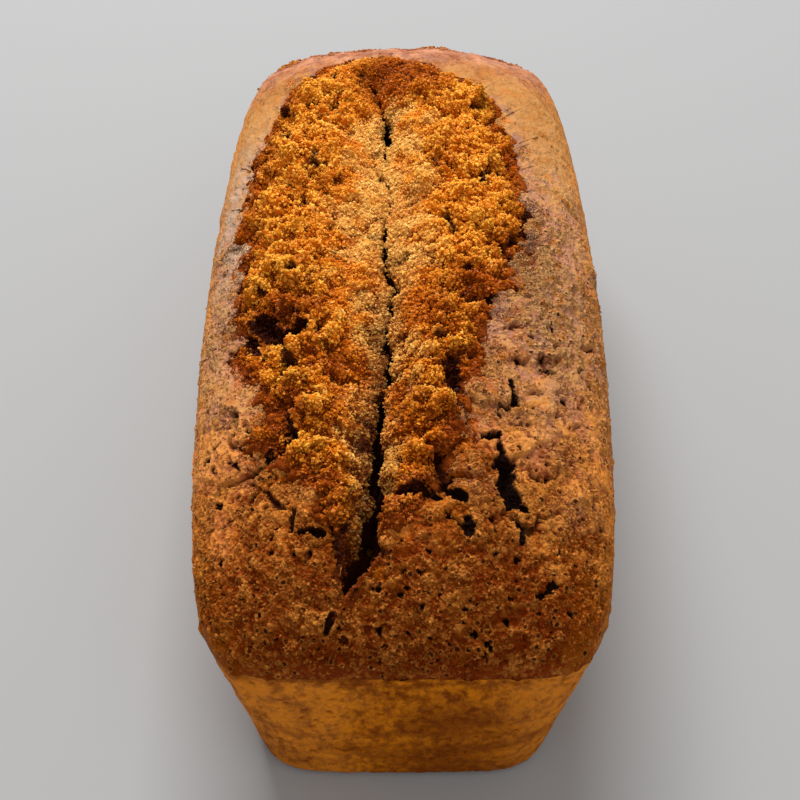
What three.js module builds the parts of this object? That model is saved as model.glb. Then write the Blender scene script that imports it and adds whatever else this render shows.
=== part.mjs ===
// Gingerbread loaf: one uncut cake baked in a tapered tin, split along its top.
// Millimetres, +Z up. It rests on its flat base with the origin under its middle and its length along Y.
// The skin is one closed grid of rings: base, wall, rim, crust dome, torn edge, crumb lobes, crack.

import * as THREE from 'three';

// The tin gives the wall: a barrel-sided outline at the rim, tapering to a smaller one at the base.
const RIM_HALF_LENGTH = 114.5;
const RIM_HALF_WIDTH_MIDDLE = 53;
const RIM_HALF_WIDTH_END = 46;
const RIM_CORNER_POWER = 9;
const RIM_HEIGHT = 60;
const BASE_HALF_LENGTH = 104;
const BASE_HALF_WIDTH_MIDDLE = 42.5;
const BASE_HALF_WIDTH_END = 40;
const BASE_CORNER_POWER = 6.5;
const BASE_EDGE_RADIUS = 5;
const WALL_UNEVENNESS = 0.35;
const RIM_NUB_DEPTH = 0.5;
const RIM_NUB_BAND = 7;
const RIM_NUB_COUNT = 13;

// The risen top: a dome over the rim outline, steep at the rim and flat along the middle.
const DOME_HEIGHT = 29;
const DOME_SIDE_POWER = 2.4;
const DOME_END_POWER = 4.5;
const DOME_ROOT = 0.5;
const CRUST_UNEVENNESS = 0.9;
const CRUST_ROW_CROWDING = 1.7;

// The split in the crust: plan points of its torn edge, from the near tip to the far end on each side.
const SPLIT_NEAR_TIP = [-14.5, -108];
const SPLIT_FAR_END = [-3, 90];
const SPLIT_RIGHT = [
  [-6, -98], [4, -84], [12, -69], [13, -57], [18, -44], [19, -31], [26, -18],
  [28, -4], [33, 7], [32, 25], [30, 47], [25, 65], [14, 80],
];
const SPLIT_LEFT = [
  [-15, -98], [-18, -86], [-27, -73], [-34, -63], [-34, -50], [-41, -36], [-42, -10],
  [-43, 20], [-41, 48], [-36, 64], [-29, 81], [-16, 89],
];
const SPLIT_RAGGEDNESS = 1.1;

// The crust lifts a little at its torn edge and the crumb starts lower, inside it.
const LIP_RISE = 0.7;
const LIP_DROP = 2.4;
const LIP_WIDTH_SHARE = 0.07;

// The crumb rises between the torn edges as two lobes, one on each side of the crack.
const LOBE_RISE = 1.8;
const LOBE_FALL_AT_CRACK = 1.6;
const LOBE_FULL_WIDTH = 16;
const CRUMB_UNEVENNESS = 1.0;

// The crack: plan points of its line from the near tip to the far gap, its width and its depth.
const CRACK_LINE = [
  [-14.5, -105.5], [-10, -98], [-9, -88], [-7, -77], [-7.5, -68], [-5, -52], [-3, -41], [-5, -25],
  [-2.5, -12], [-5, 4], [-4, 22], [-5, 45], [-6, 57], [-13, 75],
];
const CRACK_HALF_WIDTH = 1.5;
const CRACK_NEAR_EXTRA_WIDTH = 1.4;
const CRACK_NEAR_SHARE = 0.16;
const CRACK_TIP_SHARE = 0.05;
const CRACK_DEPTH = 9;
const CRACK_WALL_NARROWING = 0.55;

// Crags of the top, each { x, y, rx, ry, rise }: lumps rise above the surface and cavities sink below it.
const CRAGS = [
  { x: 23, y: -76, rx: 3.8, ry: 11, rise: -9 },
  { x: 25, y: -93, rx: 2, ry: 5, rise: -4 },
  { x: 19.5, y: -65.5, rx: 3.5, ry: 2.5, rise: -3.5 },
  { x: 15.5, y: -48, rx: 3.5, ry: 4, rise: -3.5 },
  { x: 28, y: 1, rx: 3.5, ry: 3.5, rise: -3.5 },
  { x: 22, y: 59, rx: 3, ry: 3, rise: -2.5 },
  { x: 22, y: -19, rx: 2.5, ry: 3, rise: -2.5 },
  { x: -30, y: -32, rx: 7, ry: 5, rise: -3.5 },
  { x: -27, y: -58, rx: 2.5, ry: 4, rise: -2.5 },
  { x: -31, y: -68.5, rx: 5.5, ry: 2.5, rise: -2.5 },
  { x: -2, y: -83, rx: 5, ry: 2.2, rise: -3.5 },
  { x: 5.5, y: -76, rx: 2.5, ry: 5, rise: -2.5 },
  { x: -21.5, y: -96, rx: 2.5, ry: 2.5, rise: -1.8 },
  { x: 0, y: 72, rx: 9, ry: 8, rise: 2 },
  { x: -21, y: -85, rx: 4.5, ry: 7, rise: 2.2 },
  { x: 8.5, y: -88, rx: 7, ry: 5, rise: 1.8 },
  { x: 18, y: -91, rx: 6, ry: 5, rise: 1.6 },
  { x: 10, y: -62, rx: 5, ry: 6, rise: 1.5 },
  { x: -40, y: 18, rx: 2.5, ry: 4, rise: 1.4 },
];

// How many points each ring has and how many rings each part of the skin has.
const RING_POINTS = 176;
const EDGE_ROUNDING_STEPS = 3;
const WALL_STEPS = 5;
const CRUST_STEPS = 10;
const CRUMB_STEPS = 9;
const ARC_LENGTH_DIVISIONS = 4000;

const FULL_TURN = 2 * Math.PI;

// The colour of a browned ginger crust.
const CRUST_COLOUR = 0x9a5a28;
const CRUST_ROUGHNESS = 0.62;

function signedPower(value, power) {
  return Math.sign(value) * Math.abs(value) ** power;
}

// A superellipse outline whose half width swells from its ends to its middle.
class TinOutline extends THREE.Curve {
  constructor(halfLength, halfWidthMiddle, halfWidthEnd, cornerPower) {
    super();
    this.halfLength = halfLength;
    this.halfWidthMiddle = halfWidthMiddle;
    this.halfWidthEnd = halfWidthEnd;
    this.cornerPower = cornerPower;
    this.arcLengthDivisions = ARC_LENGTH_DIVISIONS;
  }

  barrelHalfWidth(lengthShare) {
    const swell = this.halfWidthMiddle - this.halfWidthEnd;
    return this.halfWidthEnd + swell * (1 - lengthShare ** 2);
  }

  halfWidthAt(y) {
    const lengthShare = Math.min(Math.abs(y) / this.halfLength, 1);
    const corner = (1 - lengthShare ** this.cornerPower) ** (1 / this.cornerPower);
    return this.barrelHalfWidth(lengthShare) * corner;
  }

  getPoint(share, target = new THREE.Vector3()) {
    const angle = FULL_TURN * share;
    const across = signedPower(Math.sin(angle), 2 / this.cornerPower);
    const along = signedPower(-Math.cos(angle), 2 / this.cornerPower);
    return target.set(this.barrelHalfWidth(Math.abs(along)) * across, this.halfLength * along, 0);
  }

  ring() {
    return this.getSpacedPoints(RING_POINTS).slice(0, RING_POINTS);
  }
}

const rimOutline = new TinOutline(
  RIM_HALF_LENGTH, RIM_HALF_WIDTH_MIDDLE, RIM_HALF_WIDTH_END, RIM_CORNER_POWER,
);
const baseOutline = new TinOutline(
  BASE_HALF_LENGTH, BASE_HALF_WIDTH_MIDDLE, BASE_HALF_WIDTH_END, BASE_CORNER_POWER,
);

function smoothCurve(planPoints) {
  const points = planPoints.map(([x, y]) => new THREE.Vector3(x, y, 0));
  const curve = new THREE.CatmullRomCurve3(points, false, 'centripetal');
  curve.arcLengthDivisions = ARC_LENGTH_DIVISIONS;
  return curve;
}

function smoothStep(from, to, value) {
  return THREE.MathUtils.smoothstep(value, from, to);
}

// A gentle uneven surface: waves of unlike lengths and directions added up, between about -1 and 1.
function unevenness(x, y, wavelength) {
  const k = FULL_TURN / wavelength;
  const first = Math.sin(k * (0.83 * x + 0.42 * y) + 0.6);
  const second = Math.sin(k * (-0.57 * x + 1.21 * y) + 2.1);
  const third = Math.sin(k * (1.52 * x - 0.88 * y) + 4.4);
  return (first + second + third) / 3;
}

// The torn edge wanders in and out by whole waves round the split, so that it closes on itself.
function raggedness(share) {
  const coarse = Math.sin(FULL_TURN * 17 * share + 0.8);
  const middling = Math.sin(FULL_TURN * 29 * share + 2.9);
  const fine = Math.sin(FULL_TURN * 41 * share + 5.1);
  return 0.5 * coarse + 0.6 * middling + 0.5 * fine;
}

function cragRise(x, y) {
  let rise = 0;
  for (const crag of CRAGS) {
    const reach = ((x - crag.x) / crag.rx) ** 2 + ((y - crag.y) / crag.ry) ** 2;
    rise += crag.rise * Math.exp(-(reach ** 1.5));
  }
  return rise;
}

function domeHeight(x, y) {
  const side = Math.min(Math.abs(x) / Math.max(rimOutline.halfWidthAt(y), 1e-6), 1);
  const end = Math.min(Math.abs(y) / RIM_HALF_LENGTH, 1);
  const sideFall = (1 - side ** DOME_SIDE_POWER) ** DOME_ROOT;
  const endFall = (1 - end ** DOME_END_POWER) ** DOME_ROOT;
  return RIM_HEIGHT + DOME_HEIGHT * sideFall * endFall;
}

// Rings run from the near end by the right side to the far end and back by the left side.
function ringShare(index) {
  return index / RING_POINTS;
}

// Share of the way from near to far, the same on both sides of the loaf.
function lengthShareOf(index) {
  return 1 - Math.abs(1 - 2 * ringShare(index));
}

// The torn edge of the split, one plan point for each ring place.
function splitRing() {
  const right = smoothCurve([SPLIT_NEAR_TIP, ...SPLIT_RIGHT, SPLIT_FAR_END]);
  const left = smoothCurve([SPLIT_NEAR_TIP, ...SPLIT_LEFT, SPLIT_FAR_END]);
  const ring = [];
  for (let index = 0; index < RING_POINTS; index += 1) {
    const onRight = index < RING_POINTS / 2;
    const share = lengthShareOf(index);
    const side = onRight ? right : left;
    const point = side.getPointAt(share);
    const tangent = side.getTangentAt(share);
    const outward = onRight ? 1 : -1;
    const calmAtEnds = smoothStep(0, 0.1, share) * smoothStep(0, 0.1, 1 - share);
    const offset = outward * SPLIT_RAGGEDNESS * calmAtEnds * raggedness(ringShare(index));
    point.x += offset * tangent.y;
    point.y -= offset * tangent.x;
    ring.push(point);
  }
  return ring;
}

function crackHalfWidth(share) {
  const nearGape = CRACK_NEAR_EXTRA_WIDTH * Math.exp(-((share / CRACK_NEAR_SHARE) ** 2));
  const closing = smoothStep(0, CRACK_TIP_SHARE, share) * smoothStep(0, CRACK_TIP_SHARE, 1 - share);
  return (CRACK_HALF_WIDTH + nearGape) * closing;
}

// Plan points beside the crack line, at a share of its half width on each side.
function crackRing(widthShare) {
  const line = smoothCurve(CRACK_LINE);
  const ring = [];
  for (let index = 0; index < RING_POINTS; index += 1) {
    const share = lengthShareOf(index);
    const outward = index < RING_POINTS / 2 ? 1 : -1;
    const point = line.getPointAt(share);
    const tangent = line.getTangentAt(share);
    const offset = outward * widthShare * crackHalfWidth(share);
    point.x += offset * tangent.y;
    point.y -= offset * tangent.x;
    ring.push(point);
  }
  return ring;
}

function crackDepth(share) {
  return CRACK_DEPTH * smoothStep(0, CRACK_TIP_SHARE, share) * smoothStep(0, CRACK_TIP_SHARE, 1 - share);
}

// Height of the crumb above or below the dome, across a lobe from the torn edge to the crack.
function lobeHeight(acrossShare, lobeWidth) {
  const fullness = Math.min(lobeWidth / LOBE_FULL_WIDTH, 1);
  const climb = smoothStep(0, 0.45, acrossShare);
  const fall = smoothStep(0.6, 1, acrossShare);
  const lobe = -LIP_DROP * (1 - climb) + LOBE_RISE * climb - (LOBE_RISE + LOBE_FALL_AT_CRACK) * fall;
  return fullness * lobe;
}

// The flat base, its rounded edge and the tapered wall up to the rim.
function wallRings() {
  const base = baseOutline.ring();
  const rim = rimOutline.ring();
  const rings = [];
  for (let step = 0; step <= EDGE_ROUNDING_STEPS; step += 1) {
    const angle = (Math.PI / 2) * (step / EDGE_ROUNDING_STEPS);
    const inset = BASE_EDGE_RADIUS * (1 - Math.sin(angle));
    const height = BASE_EDGE_RADIUS * (1 - Math.cos(angle));
    const narrowing = 1 - inset / BASE_HALF_WIDTH_MIDDLE;
    const shortening = 1 - inset / BASE_HALF_LENGTH;
    rings.push(base.map((point) => new THREE.Vector3(point.x * narrowing, point.y * shortening, height)));
  }
  for (let step = 1; step <= WALL_STEPS; step += 1) {
    const climb = step / WALL_STEPS;
    const height = BASE_EDGE_RADIUS + (RIM_HEIGHT - BASE_EDGE_RADIUS) * climb;
    const nubs = RIM_NUB_DEPTH * smoothStep(RIM_HEIGHT - RIM_NUB_BAND, RIM_HEIGHT, height);
    rings.push(base.map((point, index) => {
      const place = point.clone().lerp(rim[index], climb).setZ(height);
      const uneven = WALL_UNEVENNESS * unevenness(place.x + height, place.y, 31);
      const nub = nubs * Math.sin(FULL_TURN * RIM_NUB_COUNT * ringShare(index)) ** 2;
      const outward = new THREE.Vector3(place.x / RIM_HALF_WIDTH_MIDDLE, place.y / RIM_HALF_LENGTH, 0);
      return place.addScaledVector(outward, uneven + nub);
    }));
  }
  return rings;
}

// The crust dome from just inside the rim to the torn edge.
function crustRings(rimRing, tornEdge) {
  const rings = [];
  for (let step = 1; step <= CRUST_STEPS; step += 1) {
    const inward = (step / CRUST_STEPS) ** CRUST_ROW_CROWDING;
    const lip = LIP_RISE * smoothStep(0.8, 1, inward);
    rings.push(rimRing.map((point, index) => {
      const place = point.clone().lerp(tornEdge[index], inward);
      const relief = CRUST_UNEVENNESS * unevenness(place.x, place.y, 15) + cragRise(place.x, place.y);
      const settle = smoothStep(0, 0.25, inward);
      return place.setZ(domeHeight(place.x, place.y) + lip + relief * settle);
    }));
  }
  return rings;
}

// The crumb from the foot of the torn edge over a lobe to the lip of the crack.
function crumbRings(tornEdge, crackLip) {
  const rings = [];
  for (let step = 0; step <= CRUMB_STEPS; step += 1) {
    const acrossShare = LIP_WIDTH_SHARE + (1 - LIP_WIDTH_SHARE) * (step / CRUMB_STEPS);
    rings.push(tornEdge.map((point, index) => {
      const place = point.clone().lerp(crackLip[index], acrossShare);
      const lobe = lobeHeight(acrossShare, point.distanceTo(crackLip[index]));
      const relief = CRUMB_UNEVENNESS * unevenness(place.x, place.y, 9) + cragRise(place.x, place.y);
      return place.setZ(domeHeight(place.x, place.y) + lobe + relief);
    }));
  }
  return rings;
}

// The wall of the crack part way down, and its floor line.
function crackRings(crackLip) {
  const wall = crackRing(CRACK_WALL_NARROWING);
  const floor = crackRing(0);
  const sink = (ring, depthShare) => ring.map((point, index) => {
    const depth = depthShare * crackDepth(lengthShareOf(index));
    return point.setZ(domeHeight(point.x, point.y) - LOBE_FALL_AT_CRACK - depth);
  });
  return [sink(wall, 0.6), sink(floor, 1)];
}

// Joins the rings into one closed skin: a fan under the base, bands of triangles between the rings,
// and the two sides of the last ring folded together along the floor of the crack.
function closedSkin(rings) {
  const lastRing = rings.length - 1;
  const points = [new THREE.Vector3(0, 0, 0)];
  rings.slice(0, lastRing).forEach((ring) => points.push(...ring));
  const floorStart = points.length;
  points.push(...rings[lastRing].slice(0, RING_POINTS / 2 + 1));
  const place = (ring, index) => {
    if (ring < lastRing) {
      return 1 + ring * RING_POINTS + (index % RING_POINTS);
    }
    return floorStart + Math.min(index, RING_POINTS - index);
  };
  const triangles = [];
  for (let index = 0; index < RING_POINTS; index += 1) {
    triangles.push(0, place(0, index + 1), place(0, index));
    for (let ring = 0; ring < lastRing; ring += 1) {
      const a = place(ring, index);
      const b = place(ring, index + 1);
      const c = place(ring + 1, index + 1);
      const d = place(ring + 1, index);
      triangles.push(a, b, c, a, c, d);
    }
  }
  const geometry = new THREE.BufferGeometry().setFromPoints(points);
  geometry.setIndex(triangles);
  return geometry;
}

// Puts the middle of the loaf's box over the origin, with the base at height zero.
function centreOnBase(geometry) {
  geometry.computeBoundingBox();
  const centre = geometry.boundingBox.getCenter(new THREE.Vector3());
  geometry.translate(-centre.x, -centre.y, -geometry.boundingBox.min.z);
  geometry.computeVertexNormals();
  return geometry;
}

function loafGeometry() {
  const walls = wallRings();
  const tornEdge = splitRing();
  const crackLip = crackRing(1);
  const crust = crustRings(walls[walls.length - 1], tornEdge);
  const crumb = crumbRings(tornEdge, crackLip);
  const crack = crackRings(crackLip);
  return centreOnBase(closedSkin([...walls, ...crust, ...crumb, ...crack]));
}

const crustMaterial = new THREE.MeshStandardMaterial({
  color: CRUST_COLOUR,
  roughness: CRUST_ROUGHNESS,
  metalness: 0,
});

const loaf = new THREE.Mesh(loafGeometry(), crustMaterial);
loaf.name = 'loaf';

const gingerbreadLoaf = new THREE.Group();
gingerbreadLoaf.add(loaf);

export default gingerbreadLoaf;
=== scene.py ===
"""Gingerbread loaf: the finished look of one uncut cake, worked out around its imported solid.

Every piece is a surface of two parameters on a grid, in millimetres until its mesh is made. The loaf's
length runs along Y with the pointed end of its split at -Y, and it rests on Z = 0.
"""

import itertools
import math

import bpy
import numpy as np
from bpy.props import FloatProperty, FloatVectorProperty, PointerProperty
from bpy.types import Operator, Panel, PropertyGroup
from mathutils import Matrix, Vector


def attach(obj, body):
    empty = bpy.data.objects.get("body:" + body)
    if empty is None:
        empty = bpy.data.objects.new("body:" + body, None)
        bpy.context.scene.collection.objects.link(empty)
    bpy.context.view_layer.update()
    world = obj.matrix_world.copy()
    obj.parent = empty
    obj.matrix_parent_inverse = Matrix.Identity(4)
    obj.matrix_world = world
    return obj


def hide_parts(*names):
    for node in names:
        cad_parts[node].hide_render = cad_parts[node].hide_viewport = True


bl_info = {
    "name": "Gingerbread Loaf",
    "version": (1, 0, 0),
    "blender": (4, 5, 0),
    "location": "3D View > Sidebar > Loaf",
    "description": "Builds the crust, the torn crumb and the stage of a gingerbread loaf",
    "category": "Add Mesh",
}

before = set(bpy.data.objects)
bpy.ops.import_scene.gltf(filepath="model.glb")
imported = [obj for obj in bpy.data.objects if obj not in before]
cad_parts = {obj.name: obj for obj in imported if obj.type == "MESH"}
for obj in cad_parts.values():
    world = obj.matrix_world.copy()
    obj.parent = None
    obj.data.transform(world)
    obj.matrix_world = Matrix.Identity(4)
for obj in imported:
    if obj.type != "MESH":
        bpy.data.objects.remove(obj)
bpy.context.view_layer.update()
BODY = "root"
NODE = "loaf"
MM = 0.001

# Plan points of the torn edge of the split, from its near tip to its far end on each side, in millimetres.
SPLIT_NEAR_TIP = (-14.5, -108.0)
SPLIT_FAR_END = (-3.0, 90.0)
SPLIT_RIGHT = (
    (-6, -98), (4, -84), (12, -69), (13, -57), (18, -44), (19, -31), (26, -18),
    (28, -4), (33, 7), (32, 25), (30, 47), (25, 65), (14, 80),
)
SPLIT_LEFT = (
    (-15, -98), (-18, -86), (-27, -73), (-34, -63), (-34, -50), (-41, -36), (-42, -10),
    (-43, 20), (-41, 48), (-36, 64), (-29, 81), (-16, 89),
)

# The crack between the two crumb lobes, from its near tip to its far end: plan point, and its width there
# as a share of the crack width.
CRACK_LINE = (
    (-14.8, -106.8, 0.35), (-13.8, -104.8, 1.0), (-10.6, -98, 2.0), (-8.2, -93, 2.3), (-7.4, -87, 1.9),
    (-5.2, -81, 1.5), (-5.8, -72, 1.4), (-5.4, -57.5, 1.1), (-3.7, -38, 0.6), (-3.3, -24, 0.4),
    (-2.5, -15, 0.8), (-3.3, -10, 0.8), (-5.2, 7.5, 0.7), (-4, 14.7, 0.3), (-4.9, 32, 0.3), (-4.1, 46, 0.4),
    (-4.1, 50.5, 1.4), (-5, 60.5, 0.6), (-9, 73.5, 1.0), (-13, 78, 0.4),
)

# Lumps of the top, and broad bowls with a negative rise: x, y, reach across, reach along, rise.
LUMPS = (
    (0, 68, 9, 9, 1.4), (-21, -83, 4.5, 7, 2), (8.5, -89, 6, 5, 1.8), (19, -91, 5, 5, 1.6),
    (15, -75, 5, 8, 1.4), (10, -62, 5, 6, 1.5), (-40, 18, 2.5, 4, 1.4), (-33, -57, 5, 6, 1.2),
    (30, -66, 6, 8, 1.0), (20, -51, 5, 7, 1.2), (-30, -75, 4, 5, 1.8), (-30, -89.5, 5, 5, 1.5),
    (-33, -28, 10, 8, -3.2), (12, -46, 4, 9, -2), (-29, -62, 5, 8, -2), (26, 0, 4, 6, -1.5),
    (9, -76, 4, 7, -2),
)

# Cavities of the top: half width, depth, then the plan points of the middle line.
CAVITIES = (
    (2.6, 9, (22.8, -73.5), (23.2, -78), (23.8, -82)), (0.9, 4, (22, -68.5), (22.8, -73)),
    (0.9, 4, (24, -82.4), (27.4, -84.4)), (1.1, 4, (18.8, -66.5), (21.4, -65.4)),
    (1.0, 3.5, (25, -49), (26, -57)), (0.9, 3.5, (25.5, -87.7), (26, -92)),
    (1.1, 3, (13.7, -89), (14, -92)),
    (1.1, 3.2, (7.5, -73), (10, -82), (13, -84.5)), (1.2, 3.5, (0, -83), (4.5, -81.5), (8, -83)),
    (0.7, 2, (35, -74)), (1.4, 5, (-27, -58), (-26, -65.5), (-27.5, -69.5), (-31, -69)),
    (0.6, 1.8, (-35.5, -66), (-33.5, -73), (-32, -78), (-35, -80)),
    (0.8, 2.4, (-32, -78), (-27.5, -83.5), (-24, -86), (-24.5, -90.5)), (1.4, 2.2, (-20.5, -96)),
    (1.0, 2.6, (-22.5, -90.8), (-18, -91.3)), (0.9, 2.2, (-31, -83)), (1.4, 2, (-40.5, -66), (-40, -69)),
    (1.2, 2.2, (-39.5, -54), (-39, -58)), (1.5, 1.5, (-44.5, -67)),
    (2.4, 5, (-36, -25), (-31, -31.5), (-25, -32)), (1.2, 3, (-39, -29.5), (-36, -35.5)),
    (2.2, 4, (28.5, 3)), (1.6, 3, (8, 30)), (1.2, 3, (21.5, 23), (22, 28)),
    (1.1, 2.2, (20, 63), (23.5, 59)),
    (1.8, 3, (12, -45), (12.5, -52)), (0.8, 2.5, (-15.5, -107.5), (-17, -110)), (1.0, 2.2, (-13, -111)),
    (1.6, 1.8, (-8, -110), (-4, -110)), (2.2, 2, (21, -108), (25, -107)),
)

# Places where the torn crumb has browned: x, y, reach across, reach along, strength.
BROWNED = (
    (0, 74, 14, 14, 1.0), (-31, 66, 4, 9, 0.7), (-37, 45, 4, 14, 0.6), (-40, 5, 4, 16, 0.6),
    (-31, -24, 11, 8, 1.0), (-28, -58, 7, 8, 1.0), (-19, -83, 6, 8, 0.9), (31, 58, 4, 14, 0.9),
    (32, 25, 4, 20, 1.0), (28, 1, 5, 7, 1.0), (20, -18, 10, 9, 1.0), (14, -47, 6, 7, 1.0),
    (10, -72, 5, 7, 0.9), (10, 30, 4, 4, 0.6), (-22, 26, 6, 4, 0.5), (8, -28, 10, 9, 0.55),
    (5, -62, 8, 12, 0.4), (-18, -42, 8, 6, 0.5), (3, -88, 9, 7, 0.6),
)

# Places where the crust is darker: x, y, reach across, reach along, strength.
DARKENED = (
    (3, -92, 18, 8, 0.7), (16, -75, 9, 13, 1.2), (-16, -96, 10, 8, 0.5), (30, -104, 12, 7, 0.4),
    (-35, -104, 10, 7, 0.3), (-34, -70, 5, 7, 0.25),
)

# Places where the crust has broken into plates: x, y, reach across, reach along, strength.
FRACTURES = (
    (19, -72, 19, 25, 1.0), (-32, -62, 13, 24, 0.9), (-4, -96, 24, 10, 0.5), (38, -25, 14, 40, 0.9),
    (40, 35, 10, 40, 0.4),
)

RIGHT, LEFT = 1, -1
FULL_TURN = 2 * np.pi
OUTLINE_POINTS = 6000


def length_property(name, description, millimetres):
    """A length that the panel shows, given in millimetres."""
    return FloatProperty(name=name, description=description, default=millimetres * MM, unit="LENGTH")


class LoafSizes(PropertyGroup):
    """Sizes of the loaf that a user would change."""

    rim_length: length_property("Rim length", "Length of the loaf at the rim of its tin", 229.0)
    rim_width_middle: length_property("Rim width, middle", "Width at the rim, half way along", 106.0)
    rim_width_end: length_property("Rim width, ends", "Width at the rim, near the ends", 92.0)
    rim_height: length_property("Rim height", "Height of the tin-baked wall", 60.0)
    base_length: length_property("Base length", "Length of the loaf where its wall meets the base", 208.0)
    base_width_middle: length_property("Base width, middle", "Width at the base, half way along", 85.0)
    base_width_end: length_property("Base width, ends", "Width at the base, near the ends", 80.0)
    base_edge_radius: length_property("Base edge radius", "Rounding between base and wall", 5.0)
    dome_height: length_property("Dome height", "How far the top rose above the rim", 29.0)
    lip_rise: length_property("Lip rise", "How far the crust lifts at its torn edge", 0.6)
    lip_drop: length_property("Lip drop", "How far below the torn crust the crumb starts", 0.4)
    lobe_rise: length_property("Lobe rise", "How far the crumb lobes rise above the dome", 1.8)
    crack_width: length_property("Crack width", "Width of the crack along most of its length", 3.0)
    crack_depth: length_property("Crack depth", "Depth of the crack below the lobes", 11.0)
    grain_size: length_property("Grain size", "Size of one grain of the torn crumb", 1.15)
    pore_spacing: length_property("Pore spacing", "Distance between the larger pores of the crust", 4.2)


def colour_property(name, description, default):
    """A colour that the panel shows, as linear light."""
    return FloatVectorProperty(
        name=name, description=description, default=default, subtype="COLOR", size=3, min=0.0, max=1.0)


class LoafColours(PropertyGroup):
    """Colours of the loaf and the floor that a user would change."""

    crust_pale: colour_property("Pale crust", "Lightly baked crust at the far end", (0.52, 0.245, 0.075))
    crust_brown: colour_property("Brown crust", "Well baked crust of the near end", (0.42, 0.102, 0.010))
    crust_tan: colour_property("Tan crust", "Baked crust away from the near end", (0.58, 0.243, 0.135))
    crust_dark: colour_property("Dark crust", "Darkest crust, by the near rim", (0.27, 0.035, 0.0004))
    crust_gilt: colour_property("Gilt crust", "Smooth crust of the far end", (0.46, 0.205, 0.058))
    crust_umber: colour_property("Umber crust", "Dark spots away from the near end", (0.25, 0.056, 0.008))
    crust_rust: colour_property("Rusty crust", "Warm spots of the middle crust", (0.50, 0.150, 0.012))
    # crust_fleck is the palest crust colour and the colour of painted highlights on its specks
    crust_fleck: colour_property("Crust flecks", "Lit specks of the rough crust", (0.74, 0.250, 0.038))
    # painted highlight: pale cream painted on crust specks away from the near end
    crust_cream_highlight: colour_property("Cream flecks", "Lit specks away from the near end", (0.80, 0.430, 0.210))
    # painted sheen: the greyish colour of a reflection painted along the left edge and the far strip
    crust_sheen: colour_property("Dull crust", "Dry greyish film along the left edge", (0.50, 0.34, 0.23))
    # crust_bruise: dark greyish patches of the middle crust
    crust_bruise: colour_property("Dark film", "Dull dark patches of the middle crust", (0.27, 0.13, 0.095))
    # painted shade: the near-black colour painted inside pores, gaps and sunken cavities
    pore_shade: colour_property("Pores", "Inside of the pores and gaps", (0.014, 0.003, 0.001))
    crumb_gold: colour_property("Golden crumb", "Crumb of the lobes", (0.68, 0.22, 0.008))
    # crumb_orange is the crumb's own colour in patches and the warm shade painted in its creases
    crumb_orange: colour_property("Orange crumb", "Crumb in the creases of the lobes", (0.68, 0.150, 0.002))
    crumb_red: colour_property("Browned crumb", "Crumb toasted beside the torn crust", (0.32, 0.060, 0.002))
    # painted highlight: the pale colour painted on the tops of grains
    grain_tip_highlight: colour_property("Grain tips", "Pale tips of the grains", (0.98, 0.46, 0.050))
    # crumb_cream is the crumb's own colour beside the crack and the colour of painted highlights there
    crumb_cream: colour_property("Cream tips", "Tips of the grains beside the crack", (0.90, 0.52, 0.13))
    # painted shade: the dark colour painted at the feet of grains and inside crust pits
    grain_foot_shade: colour_property("Grain feet", "Crumb between the grains", (0.22, 0.036, 0.001))
    # painted shade: the colour painted into the crumb's hollows and down the crack
    crumb_hollow_shade: colour_property("Hollows", "Crumb deep in hollows and the crack", (0.035, 0.005, 0.0005))
    side_gold: colour_property("Golden side", "Wall baked against the tin", (0.83, 0.248, 0.005))
    side_brown: colour_property("Brown side", "Darker mottling of the wall", (0.20, 0.036, 0.0008))
    floor_grey: colour_property("Floor", "Plain floor under the loaf", (0.345, 0.345, 0.345))


def sizes_in_millimetres():
    """The sizes of the panel as a plain dictionary in millimetres."""
    sizes = bpy.context.scene.loaf_sizes
    return {name: getattr(sizes, name) / MM for name in LoafSizes.__annotations__}


def unit(value):
    """The value kept between 0 and 1."""
    return np.clip(value, 0.0, 1.0)


def smooth_step(low, high, value):
    """0 below low, 1 above high, and an S-shaped cubic between them."""
    share = unit((value - low) / (high - low))
    return share * share * (3.0 - 2.0 * share)


def hump(value, centre, width, power=2):
    """1 at a centre, falling off as the exponential of minus the distance in widths to an even power."""
    return np.exp(-(((value - centre) / width) ** power))


def inside_ends(shares, width):
    """0 at both ends of a line, and 1 from this share of its length inwards."""
    return smooth_step(0.0, width, shares) * smooth_step(0.0, width, 1.0 - shares)


def lerp(start, end, share):
    return start + (end - start) * share


def hashed(lattice, seed):
    """A repeatable random number from 0 to 1 for each row of whole numbers, by mixing their bits."""
    mask = 0xFFFFFFFF
    mixed = (lattice[:, 0] * 73856093) ^ (lattice[:, 1] * 19349663) ^ (lattice[:, 2] * 83492791)
    mixed = (mixed ^ (seed * 2654435761)) & mask
    for _ in range(2):
        mixed = (((mixed >> 16) ^ mixed) * 0x45D9F3B) & mask
    mixed = (mixed >> 16) ^ mixed
    return mixed / (mask + 1.0)


def hashed_spot(lattice, seed):
    """Three random numbers from 0 to 1 for each row of whole numbers."""
    return np.stack([hashed(lattice, seed + axis * 101) for axis in range(3)], axis=1)


def lattice_noise(points, size, seed):
    """Smooth noise from -1 to 1: random slopes at the corners of cubes of this size, blended between."""
    scaled = points / size
    cell = np.floor(scaled).astype(np.int64)
    inside = scaled - cell
    blend = inside * inside * inside * (inside * (inside * 6.0 - 15.0) + 10.0)
    total = np.zeros(len(points))
    for corner in itertools.product((0, 1), repeat=3):
        slope = 2.0 * hashed_spot(cell + corner, seed) - 1.0
        rise = np.sum(slope * (inside - corner), axis=1)
        weight = np.prod(np.where(np.array(corner) == 1, blend, 1.0 - blend), axis=1)
        total += rise * weight
    return np.clip(1.6 * total, -1.0, 1.0)


def layered_noise(points, size, seed, layers=3):
    """Lattice noise added up in layers, each half as coarse and a little over half as strong as the one
    before."""
    total = np.zeros(len(points))
    strength = 1.0
    for layer in range(layers):
        total += strength * lattice_noise(points, size / 2 ** layer, seed + 17 * layer)
        strength *= 0.55
    return total / 1.6


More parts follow.
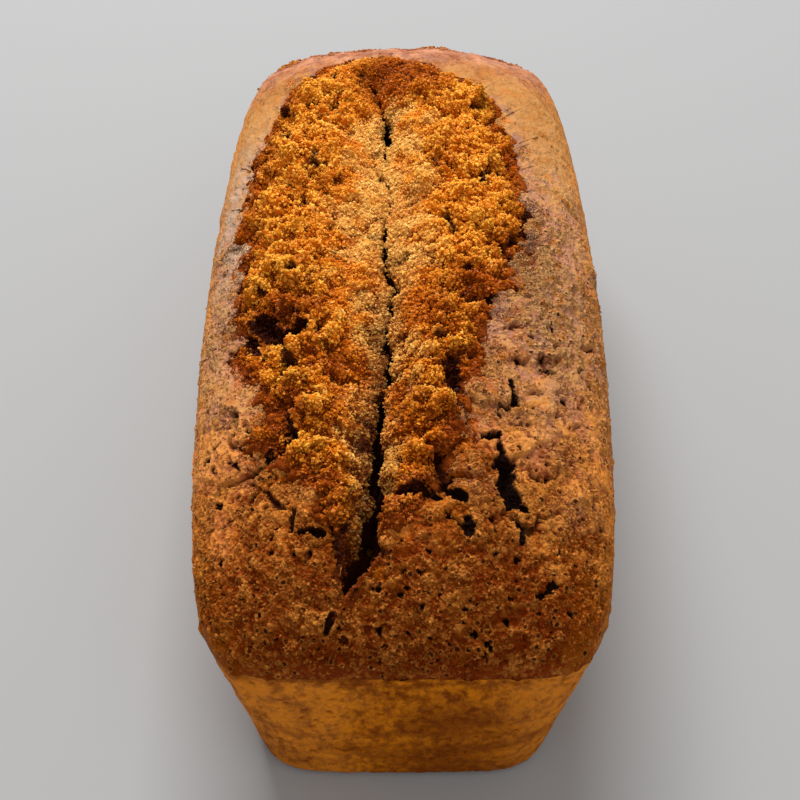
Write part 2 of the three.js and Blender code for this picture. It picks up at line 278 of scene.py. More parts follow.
def cell_noise(points, size, seed):
    """Distances to the nearest and the second nearest of points scattered one to a cube of this size,
    counted in cube sizes, and a random number that belongs to the nearest."""
    scaled = points / size
    cell = np.floor(scaled).astype(np.int64)
    nearest = np.full(len(points), 9.0)
    second = nearest.copy()
    owner = np.zeros(len(points))
    for step in itertools.product((-1, 0, 1), repeat=3):
        corner = cell + step
        spot = corner + 0.05 + 0.9 * hashed_spot(corner, seed)
        gap = np.linalg.norm(scaled - spot, axis=1)
        closer = gap < nearest
        second = np.where(closer, nearest, np.minimum(second, gap))
        owner = np.where(closer, hashed(corner, seed + 31), owner)
        nearest = np.where(closer, gap, nearest)
    return nearest, second, owner


def flat_points(plan):
    """Plan points as points at height zero, for patterns that don't change with height."""
    return np.column_stack([plan, np.zeros(len(plan))])


def arc_shares(points):
    """Share of a line's whole length at each of its points."""
    steps = np.linalg.norm(np.diff(points, axis=0), axis=1)
    along = np.concatenate([[0.0], np.cumsum(steps)])
    return along / along[-1]


def read_line(points, shares):
    """Points at the given shares of a line's length."""
    known = arc_shares(points)
    return np.stack([np.interp(shares, known, points[:, axis]) for axis in range(points.shape[1])], axis=1)


def distance_to_line(points, knots):
    """Distance from each point to the nearest place on a line of straight pieces, or to a single knot."""
    nearest = np.linalg.norm(points - knots[0], axis=1)
    for start, end in zip(knots[:-1], knots[1:]):
        step = end - start
        share = unit((points - start) @ step / (step @ step))
        nearest = np.minimum(nearest, np.linalg.norm(points - start - share[:, None] * step, axis=1))
    return nearest


def smooth_line(plan_points):
    """A dense curve through plan points: cubic pieces whose speed follows the root of the gap between
    points. Each piece blends straight lines between four points, twice over."""
    knots = np.array(plan_points, float)
    before = 2 * knots[0] - knots[1]
    after = 2 * knots[-1] - knots[-2]
    padded = np.vstack([before, knots, after])
    gaps = np.linalg.norm(np.diff(padded, axis=0), axis=1)
    times = np.concatenate([[0.0], np.cumsum(np.sqrt(gaps))])

    def straight(time, start, end, first, last):
        span = times[end] - times[start]
        return (times[end] - time) / span * first + (time - times[start]) / span * last

    pieces = []
    for one in range(len(padded) - 3):
        two, three, four = one + 1, one + 2, one + 3
        time = np.linspace(times[two], times[three], 120, endpoint=False)[:, None]
        early = straight(time, one, two, padded[one], padded[two])
        middle = straight(time, two, three, padded[two], padded[three])
        late = straight(time, three, four, padded[three], padded[four])
        early = straight(time, one, three, early, middle)
        late = straight(time, two, four, middle, late)
        pieces.append(straight(time, two, three, early, late))
    pieces.append(knots[-1:])
    return np.vstack(pieces)


def line_and_side(line, shares):
    """Points at shares of a line's length, and the unit vectors that point to its right there."""
    points = read_line(line, shares)
    reach = 0.02
    ahead = read_line(line, np.minimum(shares + reach, 1.0))
    behind = read_line(line, np.maximum(shares - reach, 0.0))
    heading = ahead - behind
    heading /= np.linalg.norm(heading, axis=1, keepdims=True)
    return points, np.stack([heading[:, 1], -heading[:, 0]], axis=1)


def squared_reach(plan, x, y, across, along):
    """Squared distance of plan points from a place, counted in its reach across and along the loaf."""
    return ((plan[:, 0] - x) / across) ** 2 + ((plan[:, 1] - y) / along) ** 2


class LoafForm:
    """The loaf's large form: the tin's outlines, the dome, the torn edge and the crack, in millimetres."""

    RIM_CORNER_POWER = 9.0
    BASE_CORNER_POWER = 6.5
    DOME_SIDE_POWER = 2.4
    DOME_END_POWER = 4.5
    SPLIT_RAGGEDNESS = 1.1
    # Waves of the torn edge: reach, number round the split and starting angle.
    SPLIT_WAVES = ((0.5, 17, 0.8), (0.6, 29, 2.9), (0.5, 41, 5.1))
    SPLIT_CALM_SHARE = 0.1
    CRACK_TIP_SHARE = 0.05
    NUB_DEPTH = 0.9

    def __init__(self):
        self.size = sizes_in_millimetres()
        self.edge_lines = {
            RIGHT: smooth_line((SPLIT_NEAR_TIP, *SPLIT_RIGHT, SPLIT_FAR_END)),
            LEFT: smooth_line((SPLIT_NEAR_TIP, *SPLIT_LEFT, SPLIT_FAR_END)),
        }
        crack = np.array(CRACK_LINE, float)
        self.crack_line = smooth_line(crack[:, :2])
        self.crack_shares, self.crack_widths = arc_shares(crack[:, :2]), crack[:, 2]

    def outline(self, level, corner_power, shares):
        """Points at shares of the superellipse outline at the rim or the base. Its half width swells as
        1 - q squared from the ends to the middle. Share 0 is the near end, and the line runs by the right
        side."""
        length, width_middle, width_end = (
            self.size[f"{level}_{part}"] for part in ("length", "width_middle", "width_end"))
        angle = np.linspace(0.0, FULL_TURN, OUTLINE_POINTS)
        power = 2.0 / corner_power
        across = np.sign(np.sin(angle)) * np.abs(np.sin(angle)) ** power
        along = -np.sign(np.cos(angle)) * np.abs(np.cos(angle)) ** power
        half_width = 0.5 * (width_end + (width_middle - width_end) * (1.0 - along ** 2))
        dense = np.stack([half_width * across, 0.5 * length * along], axis=1)
        return read_line(dense, shares)

    def rim(self, shares):
        return self.outline("rim", self.RIM_CORNER_POWER, shares)

    def base(self, shares):
        return self.outline("base", self.BASE_CORNER_POWER, shares)

    def inset(self, level, ring, depth):
        """A ring of the rim or the base drawn in by this depth, as a share of its size each way."""
        full = np.array([self.size[f"{level}_width_middle"], self.size[f"{level}_length"]])
        return ring * (1.0 - 2.0 * depth / full)

    def rim_edge(self, shares):
        """The rim with small nubs of overflowed batter standing out of it: lattice noise along the rim,
        with only its higher part kept."""
        ring = self.rim(shares)
        outward = ring / np.array([self.size["rim_width_middle"], self.size["rim_length"]]) * 2.0
        bumps = lattice_noise(flat_points(ring), 7.0, 5) + 0.6 * lattice_noise(flat_points(ring), 2.6, 6)
        return ring + outward * (self.NUB_DEPTH * smooth_step(-0.1, 0.9, bumps))[:, None]

    def half_width_at(self, y):
        """Half width of the rim outline at a place along the loaf."""
        end = unit(2.0 * np.abs(y) / self.size["rim_length"])
        swell = self.size["rim_width_middle"] - self.size["rim_width_end"]
        barrel = 0.5 * (self.size["rim_width_end"] + swell * (1.0 - end ** 2))
        return barrel * (1.0 - end ** self.RIM_CORNER_POWER) ** (1.0 / self.RIM_CORNER_POWER)

    def dome(self, plan):
        """Height of the risen top: the rim height plus a dome that falls as the root of 1 - p^2.4 across
        and the root of 1 - q^4.5 along."""
        x, y = plan[..., 0], plan[..., 1]
        side = unit(np.abs(x) / np.maximum(self.half_width_at(y), 1e-6))
        end = unit(2.0 * np.abs(y) / self.size["rim_length"])
        fall = np.sqrt(1.0 - side ** self.DOME_SIDE_POWER) * np.sqrt(1.0 - end ** self.DOME_END_POWER)
        return self.size["rim_height"] + self.size["dome_height"] * fall

    def torn_edge(self, side, shares):
        """Plan points of the crust's torn edge on one side, and the directions away from the crack. Whole
        waves round the split make it wander, and they die out at its two ends."""
        points, to_right = line_and_side(self.edge_lines[side], shares)
        outward = to_right * side
        turn = FULL_TURN * (0.5 * shares if side == RIGHT else 1.0 - 0.5 * shares)
        wander = sum(reach * np.sin(count * turn + start) for reach, count, start in self.SPLIT_WAVES)
        wander = self.SPLIT_RAGGEDNESS * inside_ends(shares, self.SPLIT_CALM_SHARE) * wander
        return points + outward * wander[:, None], outward

    def crack_half_width(self, shares):
        """Half the width of the crack, which closes at its tips."""
        width = self.size["crack_width"] * np.interp(shares, self.crack_shares, self.crack_widths)
        return 0.5 * width * inside_ends(shares, self.CRACK_TIP_SHARE)

    def crack_depth_at(self, shares):
        return self.size["crack_depth"] * inside_ends(shares, self.CRACK_TIP_SHARE)

    def lip_share(self, shares):
        """How far the crust stands clear of the crumb at its torn edge: little at both ends of the split,
        where it has crumbled, and fully in its middle."""
        return smooth_step(0.22, 0.5, shares) * smooth_step(1.0, 0.8, shares)

    @staticmethod
    def lump_rise(plan):
        """Lumps added up, each falling off as the exponential of minus its distance cubed."""
        rise = np.zeros(len(plan))
        for *place, height in LUMPS:
            rise += height * np.exp(-(squared_reach(plan, *place) ** 1.5))
        return rise

    def cavities(self, plan):
        """How far the cavities sink each plan point, where their ragged edges curl up, and how much painted
        shade darkens them, which only the deeper ones get. The distance to the middle line of a cavity is
        measured along the dome and counted in half widths."""
        points = np.column_stack([plan, self.dome(plan)])
        ragged = 0.9 * lattice_noise(points, 3.4, 60) + 0.25 * lattice_noise(points, 2.2, 57)
        sink, curl, painted_cavity_shade = np.zeros((3, len(plan)))
        for half_width, depth, *line in CAVITIES:
            middle = np.array(line, float)
            gap = distance_to_line(points, np.column_stack([middle, self.dome(middle)]))
            gap = (gap + (0.4 + 0.5 * half_width) * ragged) / half_width
            sink = np.maximum(sink, 0.6 * depth * smooth_step(1.08, 0.25, gap))
            curl = np.maximum(curl, np.exp(-(((gap - 1.15) * half_width / 0.5) ** 2)))
            painted_cavity_shade = np.maximum(painted_cavity_shade, smooth_step(1.15, 0.78, gap) * smooth_step(1.4, 3.0, depth))
        return sink, curl, painted_cavity_shade

    @staticmethod
    def spread(plan, places):
        """How far each plan point is in the nearest of some places, from 0 to 1: the exponential of minus
        the distance to the fourth power."""
        share = np.zeros(len(plan))
        for *place, strength in places:
            share = np.maximum(share, strength * np.exp(-(squared_reach(plan, *place) ** 2)))
        return share


def grid_normals(points, wrap_rows, wrap_columns):
    """Unit normals of a grid of points, from the cross product of the steps along its rows and columns."""
    def step(axis, wrap):
        if wrap:
            return np.roll(points, -1, axis) - np.roll(points, 1, axis)
        return np.gradient(points, axis=axis)
    normal = np.cross(step(0, wrap_rows), step(1, wrap_columns))
    return normal / np.maximum(np.linalg.norm(normal, axis=2, keepdims=True), 1e-9)


def new_piece(name, points, quads, triangles, uv, values):
    """A piece from its points in millimetres, its four-sided faces, which are smooth, and its three-sided
    faces, which are flat. The uv list runs over the corners of the quads and then of the triangles."""
    loops = np.concatenate([quads.ravel(), triangles.ravel()])
    starts = np.concatenate([4 * np.arange(len(quads)), 4 * len(quads) + 3 * np.arange(len(triangles))])
    mesh = bpy.data.meshes.new(name)
    mesh.vertices.add(len(points))
    mesh.vertices.foreach_set("co", (points * MM).astype(np.float32).ravel())
    mesh.loops.add(len(loops))
    mesh.loops.foreach_set("vertex_index", loops.astype(np.int32))
    mesh.polygons.add(len(starts))
    mesh.polygons.foreach_set("loop_start", starts.astype(np.int32))
    mesh.polygons.foreach_set("use_smooth", np.arange(len(starts)) < len(quads))
    mesh.update(calc_edges=True)
    mesh.uv_layers.new(name="OFBake").uv.foreach_set("vector", uv.astype(np.float32).ravel())
    for key, value in values.items():
        mesh.attributes.new(key, "FLOAT", "POINT").data.foreach_set("value", value.astype(np.float32))
    if mesh.validate():
        raise RuntimeError(f"{name} has broken faces")
    piece = bpy.data.objects.new(name, mesh)
    bpy.context.collection.objects.link(piece)
    return piece


class GridMesh:
    """A mesh made from a grid of points: quads between neighbours, wrapped or capped at the borders."""

    def __init__(self, points, wrap_rows, wrap_columns, strips):
        self.points = points
        self.rows, self.columns = points.shape[:2]
        self.wrap_rows, self.wrap_columns = wrap_rows, wrap_columns
        self.strips = strips
        self.caps = []

    def cap_columns(self, column, centre, flip):
        """Closes the ring of points at one column with a fan round a centre point."""
        self.caps.append((np.arange(self.rows) * self.columns + column, centre, flip))

    def close_rows(self):
        """Closes the rings of points at the first and the last row with fans round their means."""
        for row, flip in ((0, True), (self.rows - 1, False)):
            ring = row * self.columns + np.arange(self.columns)
            self.caps.append((ring, self.points[row].mean(axis=0), flip))

    def corner_grid(self):
        """Row and column of the four corners of every quad; a wrapped border counts on past the last."""
        row_count = self.rows if self.wrap_rows else self.rows - 1
        column_count = self.columns if self.wrap_columns else self.columns - 1
        row, column = np.meshgrid(np.arange(row_count), np.arange(column_count), indexing="ij")
        row, column = row.ravel()[:, None], column.ravel()[:, None]
        return row + np.array([0, 1, 1, 0]), column + np.array([0, 0, 1, 1]), row_count, column_count

    def layout_uv(self, row, column, row_count, column_count):
        """Places the grid in the unit square, cut across its rows into strips laid side by side."""
        per_strip = int(np.ceil(row_count / self.strips))
        strip = row[:, :1] // per_strip
        along = (row - strip * per_strip) / per_strip
        across = (strip + 0.02 + 0.96 * column / column_count) / self.strips
        return np.stack([0.005 + 0.99 * along, across], axis=2).reshape(-1, 2)

    def build(self, name, values):
        """The finished piece. The values are grids of numbers, one for each point."""
        row, column, row_count, column_count = self.corner_grid()
        quads = (row % self.rows) * self.columns + column % self.columns
        uv = [self.layout_uv(row, column, row_count, column_count)]
        hub = self.rows * self.columns
        hubs, triangles = [], []
        for index, (ring, centre, flip) in enumerate(self.caps):
            ends = (np.roll(ring, -1), ring) if flip else (ring, np.roll(ring, -1))
            triangles.append(np.stack([np.full(len(ring), hub + index), *ends], axis=1))
            hubs.append(centre)
            uv.append(np.full((3 * len(ring), 2), 0.002))
        points = np.vstack([self.points.reshape(-1, 3), *hubs])
        padded = {key: np.append(value.ravel(), np.zeros(len(hubs))) for key, value in values.items()}
        return new_piece(name, points, quads, np.concatenate(triangles), np.concatenate(uv), padded)


def ring_shares(count, crowding):
    """Shares round a ring, set closer together towards the near end."""
    turn = np.arange(count) / count
    return turn - crowding / FULL_TURN * np.sin(FULL_TURN * turn)


def peaks(relief, reach, wrap_rows):
    """How far a relief grid stands above its own mean over the neighbours within this many rows and
    columns."""
    mean = relief
    window = 2 * reach + 1
    for axis, mode in ((0, "wrap" if wrap_rows else "edge"), (1, "edge")):
        pad = [(0, 0), (0, 0)]
        pad[axis] = (reach + 1, reach)
        total = np.cumsum(np.pad(mean, pad, mode=mode), axis=axis)
        upper = np.take(total, np.arange(window, total.shape[axis]), axis=axis)
        lower = np.take(total, np.arange(0, total.shape[axis] - window), axis=axis)
        mean = (upper - lower) / window
    return relief - mean


class GridColumns:
    """Columns of grid points, added one after another, each with the shares that belong to it."""

    def __init__(self):
        self.points = []
        self.shares = []

    def add(self, plan, level, *shares):
        """Adds a column over these plan points, at one level for all of them or one for each."""
        self.points.append(np.column_stack([plan, np.broadcast_to(level, len(plan))]))
        self.shares.append(shares)

    def finished(self):
        """The grid of points, and a list over its columns for each of their shares."""
        return np.stack(self.points, axis=1), *np.array(self.shares, float).T


class Field:
    """A grid of points before its relief, with its coordinates and its noise as lists over the points."""

    def __init__(self, form, points):
        self.form = form
        self.points = points
        self.shape = points.shape[:2]
        self.flat = points.reshape(-1, 3)
        self.plan = self.flat[:, :2]
        self.x, self.y, self.z = self.flat.T

    def noise(self, size, seed):
        """Lattice noise of this size in millimetres. The seed only tells one pattern from another."""
        return lattice_noise(self.flat, size, seed)

    def layers(self, size, seed, count=3):
        """Layered noise, its coarsest layer of this size in millimetres."""
        return layered_noise(self.flat, size, seed, count)

    def along(self, low, high):
        """A share that goes from 0 to 1 between two places along the loaf."""
        return smooth_step(low, high, self.y)

    def over_rows(self, column_values):
        """One value for each column, the same in every row."""
        return np.broadcast_to(column_values, self.shape).ravel()

    def on_grid(self, values):
        """Lists over the points as grids of the same shape."""
        return {key: value.reshape(self.shape) for key, value in values.items()}

    def moved(self, normals, relief):
        """The grid with each point moved along its normal by its relief."""
        return self.points + normals * relief.reshape(self.shape)[..., None]

    def crust_share(self):
        """How far the colour of the top crust has taken over from the gold of the wall: a ragged border
        that wanders a little under the rim."""
        ragged = 6.5 * self.noise(13.0, 56) + 2.5 * self.layers(3.4, 59)
        return smooth_step(-6.2, -1.4, self.z - self.form.size["rim_height"] + ragged)


# Points round the wall and the crust, how much closer they stand at the near end, and rings of the wall.
SIDE_RING = 820
CRUST_RING = 2 * SIDE_RING
RING_CROWDING = 0.35
BASE_COLUMNS = 11
BASE_EDGE_COLUMNS = 8
SIDE_COLUMNS = 90

# Rings behind the rim, under the crust: how far inside it, and how far below it.
UNDER_RIM = ((2.0, 4.0), (8.0, 7.0))


def tin_side_grid(form):
    """The wall and the base: rings from the middle of the base out to its rounded edge, up the tapered
    wall to the rim, and back inside under the crust. The wall runs straight from base outline to rim
    outline. The share of each column is the weight of its relief."""
    shares = ring_shares(SIDE_RING, RING_CROWDING)
    base, rim = form.base(shares), form.rim_edge(shares)
    radius, height = form.size["base_edge_radius"], form.size["rim_height"]
    columns = GridColumns()
    for share in np.linspace(0.08, 1.0, BASE_COLUMNS, endpoint=False):
        columns.add(form.inset("base", base, radius) * share, 0.0, 0.0)
    for angle in np.linspace(0.0, np.pi / 2, BASE_EDGE_COLUMNS):
        ring = form.inset("base", base, radius * (1.0 - np.sin(angle)))
        columns.add(ring, radius * (1.0 - np.cos(angle)), smooth_step(0.3, 1.2, angle))
    for climb in np.linspace(0.0, 1.0, SIDE_COLUMNS)[1:]:
        fade = 1.0 - smooth_step(0.955, 1.0, climb)
        columns.add(lerp(base, rim, climb), lerp(radius, height, climb), fade)
    for depth, drop in UNDER_RIM:
        columns.add(form.inset("rim", rim, depth), height - drop, 0.0)
    return columns.finished()


class TinSideField(Field):
    """The wall and the base that baked against the tin."""

    def __init__(self, form):
        points, weights = tin_side_grid(form)
        super().__init__(form, points)
        self.weight = self.over_rows(weights)

    def relief(self):
        """Shallow dents, a fine open grain and small pits left by bubbles at the tin, and where the pits
        are."""
        dents = 0.40 * self.layers(11.0, 41) + 0.28 * self.layers(2.6, 43, 2)
        near, _, owner = cell_noise(self.flat, 3.1, 47)
        radius = 0.14 + 0.26 * owner
        ragged = near + 0.10 * self.noise(0.9, 49)
        pit = (1.0 - smooth_step(0.4, 1.0, ragged / radius)) * (owner > 0.45)
        fine, _, _ = cell_noise(self.flat, 1.1, 53)
        return (dents - 0.6 * pit + 0.22 * (0.5 - fine)) * self.weight, pit * self.weight

    def values(self):
        """Colour values of the wall: browner low in the middle of the end walls and in streaks of noise
        stretched along it, paler by painted light away from the middle of the end walls, where the corners
        and sides face sideways, and the crust's colour under the rim, darkest at the near end."""
        stretched = self.flat * np.array([0.3, 0.3, 1.0])
        streaks = hump(self.z, 20.0, 14.0) * layered_noise(stretched, 6.0, 55)
        middle = hump(self.x, 12.0, 15.0) * smooth_step(58.0, 36.0, self.z)
        low = 0.30 * smooth_step(25.0, 4.0, self.z)
        return {
            "streak": unit(0.95 * middle + low + 1.1 * streaks),
            # painted light: the wall pales away from the middle of the end walls, by its corners and sides
            "pale": smooth_step(8.0, 26.0, np.abs(self.x - 4.0) + 6.0 * self.noise(9.0, 48)),
            "crust": self.crust_share(),
            "far": self.along(-105.0, -50.0),
        }


def make_tin_side(form):
    field = TinSideField(form)
    relief, pit = field.relief()
    points = field.moved(grid_normals(field.points, True, False), relief)
    points[..., 2] = np.maximum(points[..., 2], 0.0)
    grid = GridMesh(points, True, False, strips=5)
    grid.cap_columns(0, (0.0, 0.0, 0.0), flip=True)
    grid.cap_columns(field.shape[1] - 1, (0.0, 0.0, form.size["rim_height"] - 9.0), flip=False)
    return grid.build("tin_side", {"pit": pit, **field.values()})


# Layers of noise that bend the borders of the plates: reach and size.
PLATE_WARP = ((2.2, 6.5), (1.1, 2.4), (0.6, 1.1))


def crust_plates(points, broken):
    """Broken crust: plates round scattered points with ragged borders, each at its own height, and gaps
    along some of the borders. Returns how high the plates stand, from -0.5 to 0.5, and the depth of the
    gaps, both scaled by how broken the crust is."""
    plan = flat_points(points[:, :2])
    warp = np.zeros((len(plan), 3))
    for axis, seed in ((0, 61), (1, 64)):
        for reach, size in PLATE_WARP:
            warp[:, axis] += reach * lattice_noise(plan, size, seed + int(size))
    near, second, owner = cell_noise(plan + warp, 11.0, 63)
    open_border = smooth_step(0.0, 0.3, lattice_noise(plan, 7.0, 66))
    gap = smooth_step(0.10, 0.02, second - near) * open_border
    return (owner - 0.5) * broken, gap * smooth_step(0.35, 0.7, broken)


def crust_pores(points, spacing, density):
    """Open pores: the highest spots of fine noise as ragged slits, and round bubbles at scattered
    points."""
    ragged = lattice_noise(points, 2.1, 72) + 0.4 * lattice_noise(points, 0.9, 73)
    slits = smooth_step(0.54, 0.74, ragged + 0.4 * (density - 0.6))
    near, _, owner = cell_noise(points, spacing, 71)
    radius = 0.08 + 0.24 * np.mod(7.3 * owner, 1.0) ** 2
    edge = near + 0.05 * lattice_noise(points, 1.0, 74)
    bubbles = smooth_step(1.0, 0.6, edge / radius) * (owner < density * 0.7)
    return unit(slits * smooth_step(0.3, 0.6, density) + bubbles)


CRUST_COLUMNS = 104
COLUMN_CROWDING = 1.35

# Layers of flakes along the torn edge: reach, size and seed.
TEAR_LAYERS = ((1.7, 4.6, 81), (1.2, 1.9, 82), (0.5, 0.9, 80))

# The lip of the torn crust and its underside: how far out from the torn edge, and how far down. Its first
# columns carry relief.
CRUST_LIP = ((-0.30, 0.25), (-0.35, 0.60), (0.0, 1.2), (1.0, 2.4), (3.0, 4.4), (6.0, 6.5))
LIP_COLUMNS = 4


def top_crust_grid(form):
    """The crust dome: each ring place runs from the rim to the torn edge, rounds the lip of the tear and
    turns back underneath to the rim. The share of each column is how far in from the rim it lies."""
    shares = ring_shares(CRUST_RING, RING_CROWDING)
    length_share = 1.0 - np.abs(1.0 - 2.0 * shares)
    right, right_out = form.torn_edge(RIGHT, length_share)
    left, left_out = form.torn_edge(LEFT, length_share)
    on_right = (shares < 0.5)[:, None]
    edge = np.where(on_right, right, left)
    outward = np.where(on_right, right_out, left_out)
    tear = flat_points(edge)
    flakes = sum(reach * lattice_noise(tear, size, seed) for reach, size, seed in TEAR_LAYERS)
    edge = edge + outward * (smooth_step(0.0, 0.04, length_share) * flakes)[:, None]
    rim = form.rim_edge(shares)
    height = form.size["rim_height"]
    lip_rise = form.size["lip_rise"] * (2.0 * form.lip_share(length_share) - 1.0)
    columns = GridColumns()
    for inward in np.linspace(0.0, 1.0, CRUST_COLUMNS) ** COLUMN_CROWDING:
        plan = lerp(rim, edge, inward)
        level = form.dome(plan) + lip_rise * smooth_step(0.75, 1.0, inward)
        columns.add(plan, level if inward > 0 else height, inward)
    lip_level = form.dome(edge) + lip_rise
    for under, drop in CRUST_LIP:
        plan = edge + outward * under
        columns.add(plan, np.minimum(lip_level, form.dome(plan) + 0.2) - drop, 1.0)
    inner = rim * 0.9
    columns.add(lerp(edge, inner, 0.6), height + 2.0, 1.0)
    columns.add(inner, height - 4.0, 1.0)
    return columns.finished()


class CrustField(Field):
    """The whole top crust, with the shares from 0 to 1 that say which parts of it each point lies in."""

    def __init__(self, form):
        points, inward = top_crust_grid(form)
        super().__init__(form, points)
        column = np.arange(self.shape[1])
        top = column < CRUST_COLUMNS
        lip = ~top & (column < CRUST_COLUMNS + LIP_COLUMNS)
        self.torn = self.over_rows((~top).astype(float))
        self.weight = self.over_rows(smooth_step(0.0, 0.03, inward) * (top + 0.6 * lip))
        self.inward = self.over_rows(inward)
        self.settle = self.inside(0.0, 0.12)
        self.near_edge = self.inside(0.6, 1.0)
        self.by_rim = self.inside(0.4, 0.05)
        self.broken = form.spread(self.plan, FRACTURES)
        self.far_slope = smooth_step(99.0, 109.0, self.y + 6.0 * self.noise(9.0, 94))
        self.to_front = self.along(-50.0, -95.0)
        patches = self.layers(10.0, 95)
        self.left_skin = smooth_step(-30.0, -40.0, self.x) * self.along(-82.0, -62.0)
        skin = smooth_step(0.0, 0.3, patches) * self.along(-105.0, -85.0)
        self.skin = np.maximum(skin, self.left_skin * smooth_step(-0.45, -0.1, patches))
        rough = 0.35 + 0.55 * self.along(60.0, -10.0) * (1.0 - 0.7 * self.skin)
        self.rough = rough + 0.10 * self.to_front + 0.5 * self.far_slope
        self.warp = np.stack([self.noise(5.0, seed) for seed in (75, 76, 77)], axis=1)
        coarse = np.abs(lattice_noise(self.flat + 1.5 * self.warp, 8.0, 84))
        self.billows = coarse + 0.55 * np.abs(lattice_noise(self.flat + self.warp, 3.7, 85))
        self.rise, self.crease = crust_plates(self.flat, self.broken)

    def inside(self, low, high):
        """A share that goes from 0 to 1 between two shares of the way from the rim to the torn edge."""
        return smooth_step(low, high, self.inward)

    def raised(self):
        """The points moved out by the relief: lumps and billows, plates and the gaps between them, grain,
        pores and cavities. It also notes the hollows, which get painted shade, and what stands out, which
        gets painted light."""
        front = self.along(40.0, -75.0)
        density = 0.10 + 0.65 * front + 0.5 * self.far_slope + 0.45 * self.noise(15.0, 83)
        pore = crust_pores(self.flat, self.form.size["pore_spacing"], unit(density))
        pore = pore * self.settle
        lumps = 1.1 * self.layers(18.0, 86) + 1.6 * self.rough * (self.billows - 0.35)
        pits, _, _ = cell_noise(self.flat + 0.4 * self.warp, 1.7, 58)
        grain = 0.45 * self.layers(1.9, 79) + 0.25 * self.noise(0.9, 87) + 0.5 * (pits - 0.45)
        grain = self.rough * grain
        sink, curl, painted_cavity_shade = self.form.cavities(self.plan)
        relief = (lumps + self.form.lump_rise(self.plan)) * self.settle + 2.8 * self.rise
        relief = relief - 2.2 * self.crease + grain - 1.1 * pore + 0.35 * curl - sink
        relief = relief + 0.6 * self.near_edge * self.noise(3.6, 88)
        # hollows: pores, gaps between plates and cavities, all painted dark as shade
        self.hollow_painted_dark = unit(pore + 0.8 * self.crease + painted_cavity_shade)
        # painted light: peaks of the grain and the relief, and curled cavity edges, are painted paler
        fine = peaks(grain.reshape(self.shape), 4, True)
        broad = peaks(relief.reshape(self.shape), 7, True)
        self.painted_peak_light = (0.5 + 1.2 * fine + 0.30 * broad).ravel() + 0.3 * curl
        normals = grid_normals(self.points, True, True)
        normals[..., 2] = np.maximum(normals[..., 2], 0.0)
        return self.moved(normals, relief * self.weight)

    def toast_and_shade(self):
        """How far the crust has browned, with painted shade: browned most at its two ends, in patches of
        noise, on low plates, in the darkened places and in the middle of the near rim, and painted shade in
        the dips between the billows."""
        toast_and_shade = 0.08 + 0.48 * self.along(-70.0, -106.0)
        toast_and_shade = toast_and_shade + (0.55 - 0.25 * self.far_slope) * self.along(45.0, 95.0)
        toast_and_shade = toast_and_shade + 0.6 * self.rough * self.layers(9.0, 89) + 0.7 * self.rough * (0.35 - self.billows)
        toast_and_shade = toast_and_shade - 0.4 * self.rise
        toast_and_shade = toast_and_shade + 0.6 * self.form.spread(self.plan + 4.0 * self.warp[:, :2], DARKENED)
        front_middle = self.along(-80.0, -112.0) * smooth_step(52.0, 34.0, np.abs(self.x))
        return toast_and_shade + 0.35 * self.by_rim * front_middle

    def crumbled(self):
        """Where the torn edge has crumbled down to bare crumb."""
        patches = smooth_step(-0.15, 0.25, self.noise(6.0, 90) + self.broken - 0.4)
        return self.near_edge * patches * (0.75 + 0.25 * self.along(0.0, -50.0))

    def sheen_and_dark_patches(self):
        """Two dull marks: a painted sheen, a greyish painted reflection along the left edge and faintly
        over the far strip, and dark greyish patches in the middle, along the torn edge and across the far
        end."""
        # painted sheen along the left edge, where light reflects off the crust
        left_sheen = smooth_step(-32.0, -43.0, self.x) * hump(self.y, 25.0, 32.0, 4)
        far_strip = self.along(80.0, 98.0) * (1.0 - self.far_slope)
        painted_sheen = np.maximum(left_sheen * self.inside(0.15, 0.5), 0.12 * far_strip)
        dull = self.near_edge * smooth_step(-0.1, 0.35, self.noise(8.0, 78))
        dull = dull * self.along(-60.0, 10.0)
        sallow = self.along(-75.0, -40.0) * self.along(70.0, 30.0)
        bruise = sallow * smooth_step(0.08, 0.42, self.layers(9.0, 68))
        bruise = bruise * self.inside(0.02, 0.1)
        bruise = np.maximum(bruise, self.skin * sallow * (0.6 - 0.25 * self.left_skin))
        bruise = np.maximum(bruise, dull * (1.0 - left_sheen))
        return painted_sheen, np.maximum(bruise * (1.0 - 0.3 * self.left_skin), 0.45 * far_strip)

    def cover(self, crumbled):
        """How densely grains lie: on the near crust, on the crumbled edge and on the far slope, less on
        smooth skin, and none in hollows."""
        cover = np.maximum(0.12 + 0.88 * self.to_front, self.inside(0.75, 0.95))
        cover = cover * (self.along(30.0, 0.0) + crumbled) * (1.0 - 0.7 * self.skin)
        cover = cover + 0.6 * self.far_slope
        return cover * (self.hollow_painted_dark < 0.05) * (self.weight > 0.99)

    def values(self):
        """Colour values of the crust, once it is raised."""
        crumbled = self.crumbled()
        painted_sheen, bruise = self.sheen_and_dark_patches()
        golden = self.by_rim * smooth_step(30.0, 50.0, np.abs(self.x)) * (0.6 + 0.6 * self.noise(7.0, 70))
        far = smooth_step(-92.0, -22.0, self.y + 20.0 * self.noise(12.0, 69)) * (1.0 - self.far_slope)
        values = {
            "hollow_painted_dark": self.hollow_painted_dark, "toast_and_shade": unit(self.toast_and_shade()), "torn": self.torn,
            "painted_sheen": unit(painted_sheen), "painted_peak_light": unit(self.painted_peak_light), "rough": self.rough,
            "cover": self.cover(crumbled), "crumbled": crumbled, "golden": unit(golden),
            "bruise": bruise, "crust": self.crust_share(), "far": far,
            "gilt": self.along(25.0, 60.0) * self.along(98.0, 80.0),
        }
        return self.on_grid(values)


